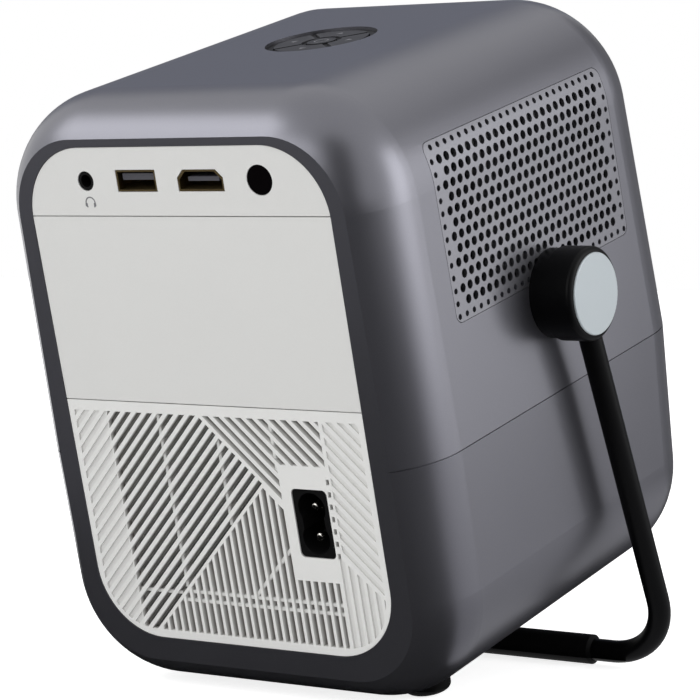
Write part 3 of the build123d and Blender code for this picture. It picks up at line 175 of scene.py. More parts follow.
def add_piece(mesh: bpy.types.Mesh, place: Matrix, rides_on: str, finish: bpy.types.Material) -> None:
    """Turns a mesh into a finished piece of the same name that rides on a body.

    Args:
        mesh: the mesh in the millimetres of its own drawing plane.
        place: the matrix from there to the scene.
        rides_on: the CAD body that carries it.
        finish: its material, where the mesh has none.
    """
    mesh.transform(place)
    shade(mesh)
    if not mesh.materials:
        mesh.materials.append(finish)
    piece = bpy.data.objects.new(mesh.name, mesh)
    bpy.context.scene.collection.objects.link(piece)
    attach(piece, rides_on)
    LOG.info("piece %s on %s, %d faces", mesh.name, rides_on, len(mesh.polygons))


def finished(name: str, work: bmesh.types.BMesh) -> bpy.types.Mesh:
    """Merges a shape's points, turns its faces outwards and gives its mesh.

    Args:
        name: the mesh's name.
        work: the shape.

    Returns:
        The mesh.
    """
    bmesh.ops.remove_doubles(work, verts=work.verts, dist=MERGE_MM)
    bmesh.ops.recalc_face_normals(work, faces=work.faces)
    mesh = bpy.data.meshes.new(name)
    work.to_mesh(mesh)
    work.free()
    return mesh


# ---- finishes -----------------------------------------------------------------------------------------
class Grain(Enum):
    """How a surface was made, which sets the pattern of its fine bumps."""

    MOULDED = "moulded"
    TURNED = "turned"
    BRUSHED = "brushed"


RING_SCALE = 0.314      # at this scale the wave texture's rings are one unit apart
BRUSH_STRETCH = 0.06    # scale of brushed lines along X as a share of that across, so they run along X
BUMP_DEPTH = 0.05       # depth of the fine bumps as a share of their width
METAL_FROM = 0.5        # a finish at least this metallic keeps the shader's own IOR


@dataclass(frozen=True)
class Finish:
    """A surface finish made of a base colour that varies a little and fine bumps of a real size.

    The colour varies to its shade. A turned finish has rings about an axis through turned_about, across the
    device or, with turned_along_lens, along the lens. A worn finish has its wear colour at the edges. One
    with a slot shade colour paints that grey as shade on the bottoms of slots, from slot_top to slot_bottom
    behind the rear face.
    """

    name: str
    colour: str
    shade: str
    rough: float
    metallic: float = 0.0
    grain: Grain = Grain.MOULDED
    grain_mm: float = 0.6
    bump: float = 0.12
    rough_swing: float = 0.05
    coat: float = 0.0
    coat_rough: float = 0.1
    ior: float = 1.5
    specular: float = 0.5
    wear: str = ""
    wear_share: float = 0.0
    turned_about: tuple[float, float, float] = (0.0, 0.0, 0.0)
    turned_along_lens: bool = False
    # painted shade: a grey on the slots' bottoms, from slot_top to slot_bottom deep, fading out at
    # below_slots
    slot_shade_colour: str = ""
    slot_top: float = 0.6
    slot_bottom: float = 2.0
    below_slots: tuple[float, float] = (2.3, 2.6)
    broad_scale: float = 22.0       # cloudy patches about 45 mm wide
    broad_share: float = 0.4
    worn_edges: tuple[float, float] = (0.52, 0.6)

    def pattern(self, tree: bpy.types.NodeTree) -> bpy.types.NodeSocket:
        """Adds the pattern of the surface's fine bumps.

        Args:
            tree: the material's tree.

        Returns:
            The pattern's output, from 0 to 1.
        """
        place = add_node(tree, "ShaderNodeTexCoord")
        scale = 1.0 / (self.grain_mm * MM)
        if self.grain is Grain.TURNED:
            turn = (0.0, BODY.lean, math.pi / 2) if self.turned_along_lens else (0.0, 0.0, 0.0)
            mapping = add_node(tree, "ShaderNodeMapping",
                               {"vector_type": "TEXTURE", "Rotation": turn,
                                "Location": BODY.matrix() @ Vector(self.turned_about)},
                               {"Vector": place.outputs["Object"]})
            rings = add_node(tree, "ShaderNodeTexWave",
                             {"wave_type": "RINGS", "rings_direction": "X", "Scale": scale * RING_SCALE,
                              "Distortion": 0.4, "Detail": 2.0},
                             {"Vector": mapping.outputs["Vector"]})
            return rings.outputs["Fac"]
        if self.grain is Grain.BRUSHED:
            mapping = add_node(tree, "ShaderNodeMapping", {"Scale": (BRUSH_STRETCH, 1.0, 1.0)},
                               {"Vector": place.outputs["Object"]})
            lines = add_node(tree, "ShaderNodeTexNoise", {"Scale": scale, "Detail": 4.0, "Roughness": 0.6},
                             {"Vector": mapping.outputs["Vector"]})
            return lines.outputs["Fac"]
        spots = add_node(tree, "ShaderNodeTexNoise", {"Scale": scale, "Detail": 2.0, "Roughness": 0.55},
                         {"Vector": place.outputs["Object"]})
        return spots.outputs["Fac"]

    def slots(self, tree: bpy.types.NodeTree, face: bpy.types.NodeSocket) -> bpy.types.NodeSocket:
        """Paints shade on the bottoms of the slots in the rear face, stronger deeper in.

        Args:
            tree: the material's tree.
            face: the colour of the face itself.

        Returns:
            The colour with the painted shade in the slots.
        """
        place = add_node(tree, "ShaderNodeTexCoord")
        upright = add_node(tree, "ShaderNodeMapping",
                           {"vector_type": "TEXTURE",
                            "Location": (0.0, BODY.shift_y * MM, BODY.shift_z * MM),
                            "Rotation": (-BODY.lean, 0.0, 0.0), "Scale": (MM, MM, MM)},
                           {"Vector": place.outputs["Object"]})
        axes = add_node(tree, "ShaderNodeSeparateXYZ", {}, {0: upright.outputs[0]})
        # painted shade: the slot grey grows with depth into the slots and stops behind them
        inwards = add_node(tree, "ShaderNodeMapRange",
                           {"From Min": -self.slot_top, "From Max": -self.slot_bottom},
                           {"Value": axes.outputs["Y"]})
        behind = add_node(tree, "ShaderNodeMapRange",
                          {"From Min": -self.below_slots[1], "From Max": -self.below_slots[0]},
                          {"Value": axes.outputs["Y"]})
        share = add_node(tree, "ShaderNodeMath", {"operation": "MULTIPLY"},
                         {0: inwards.outputs[0], 1: behind.outputs[0]})
        slot_shaded = add_node(tree, "ShaderNodeMix", {"data_type": "RGBA", 7: linear(self.slot_shade_colour)},
                         {0: share.outputs[0], 6: face})
        return slot_shaded.outputs[2]

    def material(self) -> bpy.types.Material:
        """Builds the finish's material.

        Returns:
            The material, with colour, roughness and bumps from its nodes.
        """
        made, tree, shader = new_material(self.name)
        shader.inputs["Metallic"].default_value = self.metallic
        shader.inputs["Coat Weight"].default_value = self.coat
        shader.inputs["Coat Roughness"].default_value = self.coat_rough
        shader.inputs["Specular IOR Level"].default_value = self.specular
        if self.metallic < METAL_FROM:
            shader.inputs["IOR"].default_value = self.ior
        fine = self.pattern(tree)
        place = add_node(tree, "ShaderNodeTexCoord")
        broad = add_node(tree, "ShaderNodeTexNoise", {"Scale": self.broad_scale, "Detail": 2.0},
                         {"Vector": place.outputs["Object"]})
        mottled = add_node(tree, "ShaderNodeMix", {"data_type": "FLOAT", 0: self.broad_share},
                           {2: fine, 3: broad.outputs["Fac"]})
        colours = add_node(tree, "ShaderNodeMix",
                           {"data_type": "RGBA", 6: linear(self.shade), 7: linear(self.colour)},
                           {0: mottled.outputs[0]})
        result = colours.outputs[2]
        if self.wear:
            edge = add_node(tree, "ShaderNodeNewGeometry")
            ramp = add_node(tree, "ShaderNodeMapRange",
                            {"From Min": self.worn_edges[0], "From Max": self.worn_edges[1], "To Min": 0.0,
                             "To Max": self.wear_share},
                            {"Value": edge.outputs["Pointiness"]})
            worn = add_node(tree, "ShaderNodeMix", {"data_type": "RGBA", 7: linear(self.wear)},
                            {0: ramp.outputs[0], 6: result})
            result = worn.outputs[2]
        if self.slot_shade_colour:
            result = self.slots(tree, result)
        tree.links.new(result, shader.inputs["Base Color"])
        swing = add_node(tree, "ShaderNodeMapRange",
                         {"To Min": self.rough - self.rough_swing, "To Max": self.rough + self.rough_swing},
                         {"Value": mottled.outputs[0]})
        tree.links.new(swing.outputs[0], shader.inputs["Roughness"])
        bumps = add_node(tree, "ShaderNodeBump",
                         {"Strength": self.bump, "Distance": BUMP_DEPTH * self.grain_mm * MM},
                         {"Height": fine})
        tree.links.new(bumps.outputs["Normal"], shader.inputs["Normal"])
        return made


@dataclass(frozen=True)
class ClearFinish:
    """A transparent finish: lens glass with its coloured coating, or a dark infrared window."""

    name: str
    tint: str
    coating: str
    ior: float = 1.52
    rough: float = 0.02
    through: float = 1.0
    specular: float = 0.5
    smear: float = 0.03
    smear_scale: float = 260.0      # smears about 4 mm wide

    def material(self) -> bpy.types.Material:
        """Builds the clear material, whose coating shows more at a slant.

        Returns:
            The material, with a faint smear in its roughness.
        """
        made, tree, shader = new_material(self.name)
        shader.inputs["IOR"].default_value = self.ior
        shader.inputs["Transmission Weight"].default_value = self.through
        shader.inputs["Specular IOR Level"].default_value = self.specular
        slant = add_node(tree, "ShaderNodeLayerWeight", {"Blend": 0.35})
        place = add_node(tree, "ShaderNodeTexCoord")
        haze = add_node(tree, "ShaderNodeTexNoise", {"Scale": self.smear_scale, "Detail": 2.0},
                        {"Vector": place.outputs["Object"]})
        colours = add_node(tree, "ShaderNodeMix",
                           {"data_type": "RGBA", 6: linear(self.tint), 7: linear(self.coating)},
                           {0: slant.outputs["Facing"]})
        tree.links.new(colours.outputs[2], shader.inputs["Base Color"])
        smeared = add_node(tree, "ShaderNodeMapRange",
                           {"To Min": self.rough, "To Max": self.rough + self.smear},
                           {"Value": haze.outputs["Fac"]})
        tree.links.new(smeared.outputs[0], shader.inputs["Roughness"])
        return made


@dataclass(frozen=True)
class BoardFinish:
    """Green solder resist over copper tracks on glass-filled epoxy."""

    name: str = "green_solder_resist_board"
    resist: str = "#1d5a34"
    thin_resist: str = "#1a5230"
    track: str = "#2f7a4a"
    track_mm: float = 2.4
    brick_scale: float = 0.35
    rough: float = 0.35
    copper_mm: float = 0.03

    def material(self) -> bpy.types.Material:
        """Builds the board's material, with paler lines where tracks run under the resist.

        Returns:
            The material, with the tracks in its colour and bumps.
        """
        made, tree, shader = new_material(self.name)
        place = add_node(tree, "ShaderNodeTexCoord")
        cells = add_node(tree, "ShaderNodeTexBrick",
                         {"Scale": self.brick_scale / (self.track_mm * MM), "Mortar Size": 0.03,
                          "Color1": linear(self.resist), "Color2": linear(self.thin_resist),
                          "Mortar": linear(self.track)},
                         {"Vector": place.outputs["Object"]})
        tree.links.new(cells.outputs["Color"], shader.inputs["Base Color"])
        shader.inputs["Roughness"].default_value = self.rough
        bumps = add_node(tree, "ShaderNodeBump", {"Strength": 0.2, "Distance": self.copper_mm * MM},
                         {"Height": cells.outputs["Fac"]})
        tree.links.new(bumps.outputs["Normal"], shader.inputs["Normal"])
        return made


class Palette:
    """Every finish of the projector, built once and handed out by name."""

    def __init__(self) -> None:
        """Builds the materials."""
        finishes: list[Any] = [
            # Sprayed metallic lacquer over moulded ABS: a soft satin glow with a faint sparkle of flakes.
            Finish("gunmetal_flake_lacquer_on_abs", "#77777e", "#6c6c73", 0.34, metallic=0.86,
                   grain_mm=0.35, bump=0.05, rough_swing=0.03, coat=0.12, coat_rough=0.3),
            # The same lacquer over punched aluminium sheet: a touch lighter and with a crisper sparkle.
            Finish("lacquered_punched_aluminium", "#828288", "#77777d", 0.36, metallic=0.88, grain_mm=0.3,
                   bump=0.06, coat=0.1, coat_rough=0.3),
            # Fine-textured matt ABS, moulded in warm white: an even, chalky surface.
            Finish("fine_textured_white_abs", "#dcdcda", "#d6d6d4", 0.58, grain_mm=0.45, bump=0.16,
                   ior=1.46),
            # Whiter ABS of the vent insert: same texture, a bit brighter, with painted grey shade in its
            # slots.
            Finish("bright_white_vent_abs", "#e6e6e4", "#e0e0de", 0.55, grain_mm=0.45, bump=0.14,
                   ior=1.46, slot_shade_colour="#8c8784"),
            # Polished black ABS: deep, with soft wide moulding waves and a slightly blurred shine.
            Finish("polished_black_abs", "#101012", "#0c0c0e", 0.24, grain_mm=6.0, bump=0.03,
                   rough_swing=0.02, specular=0.25),
            # Turned and anodised aluminium: fine rings round the lens, drawn at 0.5 mm so that they show.
            Finish("turned_anodised_ring", "#3c3c40", "#313135", 0.32, metallic=0.9, grain=Grain.TURNED,
                   grain_mm=0.5, bump=0.25, turned_about=(0.0, -145.0, 111.8), turned_along_lens=True),
            # Soft-touch coat on the dark grey keys: almost no shine, paler where fingers wear the edges.
            Finish("soft_touch_dark_keys", "#222225", "#1d1d20", 0.5, specular=0.25, grain_mm=0.4,
                   bump=0.15, wear="#56565a", wear_share=0.5),
            # Powder-coated steel rod: near black, satin, with an orange-peel surface.
            Finish("powder_coated_black_steel", "#08080a", "#060607", 0.4, grain_mm=0.8, bump=0.2,
                   specular=0.1),
            # Satin anodised aluminium disc: pale, slightly blue, with turning marks drawn as coarse as
            # 0.6 mm so that they show.
            Finish("satin_anodised_cap", "#b0b8bc", "#b1b8bc", 0.42, metallic=0.35, grain=Grain.TURNED,
                   grain_mm=0.6, bump=0.12, coat=0.1, coat_rough=0.3, turned_about=(0.0, -75.0, 97.8)),
            # Black natural rubber: dull and slightly dusty.
            Finish("matt_black_rubber", "#09090a", "#0c0c0d", 0.72, grain_mm=0.7, bump=0.28, ior=1.52,
                   specular=0.12),
            # Black PBT of the sockets, frames and drawer, moulded with a fine spark-eroded texture: dull.
            Finish("moulded_black_pbt", "#0a0a0b", "#0e0e0f", 0.48, grain_mm=0.4, bump=0.2, specular=0.2),
            # Slate-grey nylon of the tongues in the sockets: dull, paler than the dark round them.
            Finish("slate_nylon_tongue", "#55555b", "#4b4b51", 0.5, grain_mm=0.4, bump=0.1, specular=0.3),
            # Thin dull gold flash on the sockets' steel shells: a pale brass edge that darkens inside.
            Finish("dull_gold_flash_shell", "#8d7c58", "#7c6c4c", 0.4, metallic=1.0, grain_mm=0.4,
                   bump=0.05, rough_swing=0.04),
            # Nickel plate: bright and slightly warm.
            Finish("bright_nickel_plate", "#c9c6c0", "#bdbab3", 0.2, metallic=1.0, grain_mm=0.5,
                   bump=0.05, rough_swing=0.04),
            # Thin gold flash over nickel on the contacts: pale, shiny brass.
            Finish("gold_flash_contacts", "#c9a86a", "#b79658", 0.25, metallic=1.0, grain_mm=0.4,
                   bump=0.05, rough_swing=0.04),
            BoardFinish(),
            # Paper cones and epoxy-coated parts inside: dull near-black.
            Finish("dark_epoxy_and_paper", "#141416", "#0e0e10", 0.6, grain_mm=0.6, bump=0.3),
            # Zinc-plated sheet steel: cool grey with faint rolling lines and spangle.
            Finish("zinc_plated_sheet_steel", "#a4a7a9", "#95989b", 0.34, metallic=1.0,
                   grain=Grain.BRUSHED, grain_mm=0.5, bump=0.1, rough_swing=0.07),
            # Extruded aluminium: pale, with lines along the pull.
            Finish("extruded_aluminium", "#b4b6b8", "#a5a7a9", 0.38, metallic=1.0, grain=Grain.BRUSHED,
                   grain_mm=0.4, bump=0.12, rough_swing=0.06),
            # Grey print and sealed ink of the small marks.
            Finish("grey_pad_print", "#77777b", "#6d6d71", 0.55, grain_mm=0.2, bump=0.05),
            # Optical glass with a magenta-green anti-reflection coating.
            ClearFinish("coated_optical_glass", "#f4f2fb", "#8f7fd0"),
            # Dark polycarbonate that only infrared passes: reads as glossy black.
            ClearFinish("infrared_black_polycarbonate", "#050304", "#080506", rough=0.12, through=0.0,
                        specular=0.08),
        ]
        self.made: dict[str, bpy.types.Material] = {f.name: f.material() for f in finishes}

    def get(self, name: str) -> bpy.types.Material:
        """Gives the material of that name."""
        return self.made[name]


class Dresser:
    """Puts finishes on the CAD nodes and keeps count of those still bare."""

    def __init__(self, palette: Palette) -> None:
        """Keeps the palette and the nodes that wait for a finish."""
        self.palette = palette
        self.waiting: set[str] = set(frame["nodes"])

    def dress(self, finish: str, *nodes: str) -> None:
        """Gives CAD nodes a finish on every material slot.

        Args:
            finish: the finish's name.
            nodes: the nodes' names.
        """
        for name in nodes:
            target = frame["nodes"][name]
            if not target.material_slots:
                target.data.materials.append(self.palette.get(finish))
            for held in target.material_slots:
                held.material = self.palette.get(finish)
            self.waiting.discard(name)
        LOG.info("%s on %s", finish, ", ".join(nodes))


# ---- geometry node trees ------------------------------------------------------------------------------
@dataclass(frozen=True)
class TreeInput:
    """A named input of a geometry node tree with its kind and first value."""

    name: str
    kind: str
    value: Any


class NodeShape:
    """A shape that a geometry node tree makes, turned into a plain mesh piece."""

    def __init__(self, name: str, inputs: Sequence[TreeInput], finish: bpy.types.Material) -> None:
        """Starts the tree with its named inputs.

        Args:
            name: the piece's name.
            inputs: the tree's named sizes.
            finish: the material that the tree sets.
        """
        self.name = name
        self.finish = finish
        self.tree = bpy.data.node_groups.new(name + "_nodes", "GeometryNodeTree")
        self.ids: dict[str, str] = {}
        self.values = {i.name: i.value for i in inputs}
        for item in inputs:
            socket = self.tree.interface.new_socket(item.name, in_out="INPUT", socket_type=item.kind)
            self.ids[item.name] = socket.identifier
        self.tree.interface.new_socket("Geometry", in_out="OUTPUT", socket_type="NodeSocketGeometry")
        self.given = self.tree.nodes.new("NodeGroupInput")

    def end(self, shape: bpy.types.NodeSocket) -> None:
        """Ends the tree: real copies, the finish, and the output.

        Args:
            shape: the socket with the shape's instances or mesh.
        """
        real = add_node(self.tree, "GeometryNodeRealizeInstances", {}, {"Geometry": shape})
        dressed = add_node(self.tree, "GeometryNodeSetMaterial", {"Material": self.finish},
                           {"Geometry": real.outputs[0]})
        add_node(self.tree, "NodeGroupOutput", {}, {0: dressed.outputs[0]})

    def mesh(self) -> bpy.types.Mesh:
        """Evaluates the tree.

        Returns:
            The plain mesh that it makes, with its finish.
        """
        carrier = bpy.data.objects.new(self.name + "_carrier", bpy.data.meshes.new(self.name + "_carrier"))
        bpy.context.scene.collection.objects.link(carrier)
        modifier = carrier.modifiers.new("shape", "NODES")
        modifier.node_group = self.tree
        for name, value in self.values.items():
            modifier[self.ids[name]] = value
        bpy.context.view_layer.update()
        graph = bpy.context.evaluated_depsgraph_get()
        mesh = bpy.data.meshes.new_from_object(carrier.evaluated_get(graph), depsgraph=graph)
        carrier.modifiers.remove(modifier)
        bpy.data.objects.remove(carrier)
        mesh.name = self.name
        return mesh


class ContactRow(NodeShape):
    """A row of flat spring contacts in a socket."""

    def __init__(self, name: str, count: int, pitch: float, size: tuple[float, float, float],
                 finish: bpy.types.Material) -> None:
        """Builds the tree of contacts along X, centred on the origin.

        Args:
            name: the piece's name.
            count: how many contacts there are.
            pitch: from contact to contact, in millimetres.
            size: each contact's size.
            finish: their material.
        """
        super().__init__(name, [TreeInput("Count", "NodeSocketInt", count),
                                TreeInput("Pitch", "NodeSocketFloat", pitch),
                                TreeInput("Size", "NodeSocketVector", size)], finish)
        tree, given = self.tree, self.given
        gaps = add_node(tree, "ShaderNodeMath", {"operation": "SUBTRACT", 1: 1.0},
                        {0: given.outputs["Count"]})
        span = add_node(tree, "ShaderNodeMath", {"operation": "MULTIPLY"},
                        {0: gaps.outputs[0], 1: given.outputs["Pitch"]})
        half = add_node(tree, "ShaderNodeMath", {"operation": "MULTIPLY", 1: -0.5}, {0: span.outputs[0]})
        start = add_node(tree, "ShaderNodeCombineXYZ", {}, {"X": half.outputs[0]})
        step = add_node(tree, "ShaderNodeCombineXYZ", {}, {"X": given.outputs["Pitch"]})
        line = add_node(tree, "GeometryNodeMeshLine", {"mode": "OFFSET"},
                        {"Count": given.outputs["Count"], "Start Location": start.outputs[0],
                         "Offset": step.outputs[0]})
        box = add_node(tree, "GeometryNodeMeshCube", {"Vertices X": 2, "Vertices Y": 4, "Vertices Z": 2},
                       {"Size": given.outputs["Size"]})
        row = add_node(tree, "GeometryNodeInstanceOnPoints", {},
                       {"Points": line.outputs[0], "Instance": box.outputs[0]})
        self.end(row.outputs[0])


class RibRing(NodeShape):
    """Short ribs in a ring, as on the tread of a rubber foot."""

    def __init__(self, name: str, count: int, radius: float, size: tuple[float, float, float],
                 finish: bpy.types.Material) -> None:
        """Builds the tree of ribs round Z.

        Args:
            name: the piece's name.
            count: how many ribs there are.
            radius: from the axis to a rib's middle, in millimetres.
            size: each rib's length outwards, width and height.
            finish: their material.
        """
        super().__init__(name, [TreeInput("Count", "NodeSocketInt", count),
                                TreeInput("Radius", "NodeSocketFloat", radius),
                                TreeInput("Size", "NodeSocketVector", size)], finish)
        tree, given = self.tree, self.given
        circle = add_node(tree, "GeometryNodeMeshCircle", {}, {"Vertices": given.outputs["Count"],
                                                              "Radius": given.outputs["Radius"]})
        place = add_node(tree, "GeometryNodeInputPosition")
        turn = add_node(tree, "FunctionNodeAlignRotationToVector", {"axis": "X"},
                        {"Vector": place.outputs[0]})
        box = add_node(tree, "GeometryNodeMeshCube", {"Vertices X": 3, "Vertices Y": 2, "Vertices Z": 2},
                       {"Size": given.outputs["Size"]})
        ring = add_node(tree, "GeometryNodeInstanceOnPoints", {},
                        {"Points": circle.outputs[0], "Instance": box.outputs[0],
                         "Rotation": turn.outputs[0]})
        self.end(ring.outputs[0])


# ---- the projector's sub-assemblies -------------------------------------------------------------------
Dress = tuple[tuple[str, tuple[str, ...]], ...]     # each finish with the CAD nodes that take it


@dataclass
class SubAssembly:
    """A part of the projector that is made and dressed as one."""

    finishes: Dress = ()

    def dress(self, dresser: Dresser) -> None:
        """Gives the sub-assembly's CAD nodes their finishes."""
        for finish, nodes in self.finishes:
            dresser.dress(finish, *nodes)

    def build(self, palette: Palette) -> None:
        """Makes the small pieces that CAD leaves to the scene, where the sub-assembly has any."""


@dataclass
class Housing(SubAssembly):
    """The lacquered shells, their screws and feet."""

    finishes: Dress = (
        ("gunmetal_flake_lacquer_on_abs", ("upper_housing", "lower_housing")),
        ("matt_black_rubber", ("feet",)),
        ("bright_nickel_plate", ("foot_screws",)),
    )
    rear_foot: tuple[float, float] = (36.7, -29.0)
    front_foot: tuple[float, float] = (27.0, -108.0)
    foot_height: float = 4.0
    tread_radius: float = 4.6
    tread_ribs: int = 18
    tread_rib: tuple[float, float, float] = (1.6, 0.35, 0.3)
    tread_sunk: float = 0.14

    def build(self, palette: Palette) -> None:
        """Makes the treads under the feet.

        Args:
            palette: the finishes.
        """
        rubber = palette.get("matt_black_rubber")
        places = [(side * x, y) for side in (-1, 1) for x, y in (self.rear_foot, self.front_foot)]
        for number, (x, y) in enumerate(places, 1):
            tread = RibRing(f"foot_tread_{number}", self.tread_ribs, self.tread_radius, self.tread_rib,
                            rubber)
            down = BODY.matrix() @ Matrix.Translation((x, y, -self.foot_height + self.tread_sunk))
            add_piece(tread.mesh(), down, "housing", rubber)


@dataclass
class HeadphoneMark(SubAssembly):
    """The small printed headphone mark under the audio jack: an open band with a pad at each end."""

    centre: tuple[float, float, float] = (29.0, -0.22, 143.5)
    radius: float = 1.6
    line: float = 0.36
    proud: float = 0.06
    gap_degrees: float = 86.0
    steps: int = 28
    pad: tuple[float, float] = (0.75, 1.1)
    pad_inset: float = 0.12
    pad_drop: float = 0.45
    pad_proud: float = 0.08
    pad_steps: int = 12
    pad_squareness: float = 0.6     # 1 is an ellipse, 0 a rectangle

    def build(self, palette: Palette) -> None:
        """Makes the mark's band and pads as one thin piece on the port panel.

        Args:
            palette: the finishes.
        """
        work = bmesh.new()
        start = math.radians(-90 + self.gap_degrees / 2)
        span = math.radians(360 - self.gap_degrees)
        inner, outer = self.radius - self.line / 2, self.radius + self.line / 2
        section = ((inner, 0.0), (inner, self.proud), (outer, self.proud), (outer, 0.0))
        rows = []
        for i in range(self.steps + 1):
            angle = start + span * i / self.steps
            out = Vector((math.cos(angle), 0, math.sin(angle)))
            rows.append([work.verts.new(out * radius + Vector((0, depth, 0))) for radius, depth in section])
        bridge(work, rows)
        for side in (-1, 1):
            self.add_pad(work, side)
        place = BODY.matrix() @ Matrix.Translation(self.centre)
        add_piece(finished("headphone_mark", work), place, "housing", palette.get("grey_pad_print"))

    def add_pad(self, work: bmesh.types.BMesh, side: int) -> None:
        """Adds one rounded ear pad.

        Args:
            work: the mesh that gets it.
            side: -1 or 1, the side of the band.
        """
        width, height = self.pad
        outline = []
        for k in range(self.pad_steps):
            angle = math.tau * k / self.pad_steps
            c, s = math.cos(angle), math.sin(angle)
            x = width / 2 * math.copysign(abs(c) ** self.pad_squareness, c)
            z = height / 2 * math.copysign(abs(s) ** self.pad_squareness, s)
            outline.append((side * (self.radius - self.pad_inset) + x, z - self.pad_drop))
        bridge(work, [[work.verts.new((x, y, z)) for x, z in outline] for y in (0, self.pad_proud)])


OPEN_DEPTHS = (-1.1, -2.9)      # front and back of the bars behind the open slats
BLIND_DEPTHS = (-0.8, -2.25)    # front and back of the bars across the blind slots


@dataclass(frozen=True)
class GuardBar:
    """A bar of the fan guard behind the vent's slats, from one point (x, z) of the panel to another."""

    start: tuple[float, float]
    end: tuple[float, float]
    depths: tuple[float, float] = OPEN_DEPTHS
    chamfer: float = 0.2
    flat: float = 0.7               # the share of the width that the chamfers leave

    def add_to(self, work: bmesh.types.BMesh, width: float) -> None:
        """Adds the bar to a mesh.

        Args:
            work: the mesh.
            width: the bar's width on the panel.
        """
        front, back = self.depths
        along = Vector((self.end[0] - self.start[0], 0, self.end[1] - self.start[1])).normalized()
        across = Vector((-along.z, 0, along.x)) * width / 2
        section = ((-1, back), (-1, front - self.chamfer), (-self.flat, front), (self.flat, front),
                   (1, front - self.chamfer), (1, back))
        bridge(work, [[work.verts.new(Vector((x, y, z)) + across * side) for side, y in section]
                      for x, z in (self.start, self.end)])


@dataclass(frozen=True)
class ContactSet:
    """The spring contacts of one socket: where they lie, how many there are and their size."""

    name: str
    centre_x: float
    lift: float
    count: int
    pitch: float
    size: tuple[float, float, float]


@dataclass
class RearPanels(SubAssembly):
    """The white port panel and cover, the vent insert, the sockets and the mains inlet."""

    finishes: Dress = (
        ("fine_textured_white_abs", ("port_panel", "rear_cover")),
        ("bright_white_vent_abs", ("rear_vent",)),
        ("moulded_black_pbt", ("audio_jack", "inlet_body")),
        ("slate_nylon_tongue", ("socket_tongues",)),
        ("bright_nickel_plate", ("inlet_pins",)),
        ("dull_gold_flash_shell", ("data_socket", "video_socket")),
        ("infrared_black_polycarbonate", ("ir_window",)),
        ("dark_epoxy_and_paper", ("ir_receiver",)),
    )
    port_z: float = 149.6
    contact_depth: float = -6.5
    contacts: tuple[ContactSet, ...] = (
        ContactSet("data_contacts", 11.7, -0.1, 4, 2.4, (1.1, 6.0, 0.16)),
        ContactSet("video_contacts", -10.1, 0.1, 10, 1.0, (0.45, 5.0, 0.14)),
    )
    bar_width: float = 1.1
    bars: tuple[GuardBar, ...] = (
        GuardBar((0.0, 52.2), (0.0, 78.4)),
        GuardBar((19.6, 32.6), (19.6, 83.4)),
        GuardBar((21.6, 30.7), (36.6, 30.7)),
        GuardBar((-34.4, 31.4), (19.8, 31.4), BLIND_DEPTHS),
        GuardBar((-34.4, 28.8), (21.8, 28.8), BLIND_DEPTHS),
        GuardBar((-4.2, 31.4), (-19.4, 46.6), BLIND_DEPTHS),
        GuardBar((-19.0, 68.0), (-19.0, 83.4), BLIND_DEPTHS),
    )

    def build(self, palette: Palette) -> None:
        """Makes the guard's bars as one piece, and the contacts on the two tongues.

        Args:
            palette: the finishes.
        """
        guard = bmesh.new()
        for bar in self.bars:
            bar.add_to(guard, self.bar_width)
        add_piece(finished("vent_guard_bars", guard), BODY.matrix(), "housing",
                  palette.get("fine_textured_white_abs"))
        gold = palette.get("gold_flash_contacts")
        for held in self.contacts:
            row = ContactRow(held.name, held.count, held.pitch, held.size, gold)
            middle = (held.centre_x, self.contact_depth, self.port_z + held.lift)
            add_piece(row.mesh(), BODY.matrix() @ Matrix.Translation(middle), "housing", gold)


@dataclass
class Grilles(SubAssembly):
    """The punched speaker grilles of both sides and the speakers behind them."""

    finishes: Dress = (
        ("lacquered_punched_aluminium", ("grille_left", "grille_right")),
        ("dark_epoxy_and_paper", ("speaker_left", "speaker_right")),
    )


@dataclass
class Keypad(SubAssembly):
    """The round keypad in the top: five keys in a dish, each with a small mark."""

    finishes: Dress = (
        ("soft_touch_dark_keys", ("key_ok", "key_right", "key_back", "key_left", "key_front")),
        ("moulded_black_pbt", ("keypad_plate",)),
        ("green_solder_resist_board", ("keypad_board",)),
    )
    centre_y: float = -76.0
    key_top: float = 170.55
    mark_radius: float = 9.7
    arrow_size: float = 1.15
    arrow_back: float = 0.7         # how far an arrow reaches back, as a share of its size
    ring_radius: float = 2.0
    ring_line: float = 0.4
    ring_steps: int = 32
    proud: float = 0.05
    sunk: float = 0.05
    keys: tuple[tuple[str, float], ...] = (("key_right", 0.0), ("key_back", 90.0), ("key_left", 180.0),
                                           ("key_front", 270.0))

    def build(self, palette: Palette) -> None:
        """Makes an arrow on each outer key and a ring on the middle one.

        Args:
            palette: the finishes.
        """
        ink = palette.get("grey_pad_print")
        middle = BODY.matrix() @ Matrix.Translation((0, self.centre_y, self.key_top))
        size, back = self.arrow_size, -self.arrow_size * self.arrow_back
        for body, degrees in self.keys:
            arrow = bmesh.new()
            bridge(arrow, [[arrow.verts.new((x, y, z)) for x, y in ((size, 0), (back, size), (back, -size))]
                           for z in (-self.sunk, self.proud)])
            turn = Matrix.Rotation(math.radians(degrees), 4, "Z")
            place = middle @ turn @ Matrix.Translation((self.mark_radius, 0, 0))
            add_piece(finished("mark_" + body, arrow), place, body, ink)
        ring = bmesh.new()
        inner, outer = self.ring_radius - self.ring_line / 2, self.ring_radius + self.ring_line / 2
        section = ((inner, -self.sunk), (inner, self.proud), (outer, self.proud), (outer, -self.sunk))
        rows = []
        for i in range(self.ring_steps):
            angle = math.tau * i / self.ring_steps
            out = Vector((math.cos(angle), math.sin(angle), 0))
            rows.append([ring.verts.new(out * radius + Vector((0, 0, z))) for radius, z in section])
        bridge(ring, rows, closed=True)
        add_piece(finished("mark_key_ok", ring), middle, "key_ok", ink)


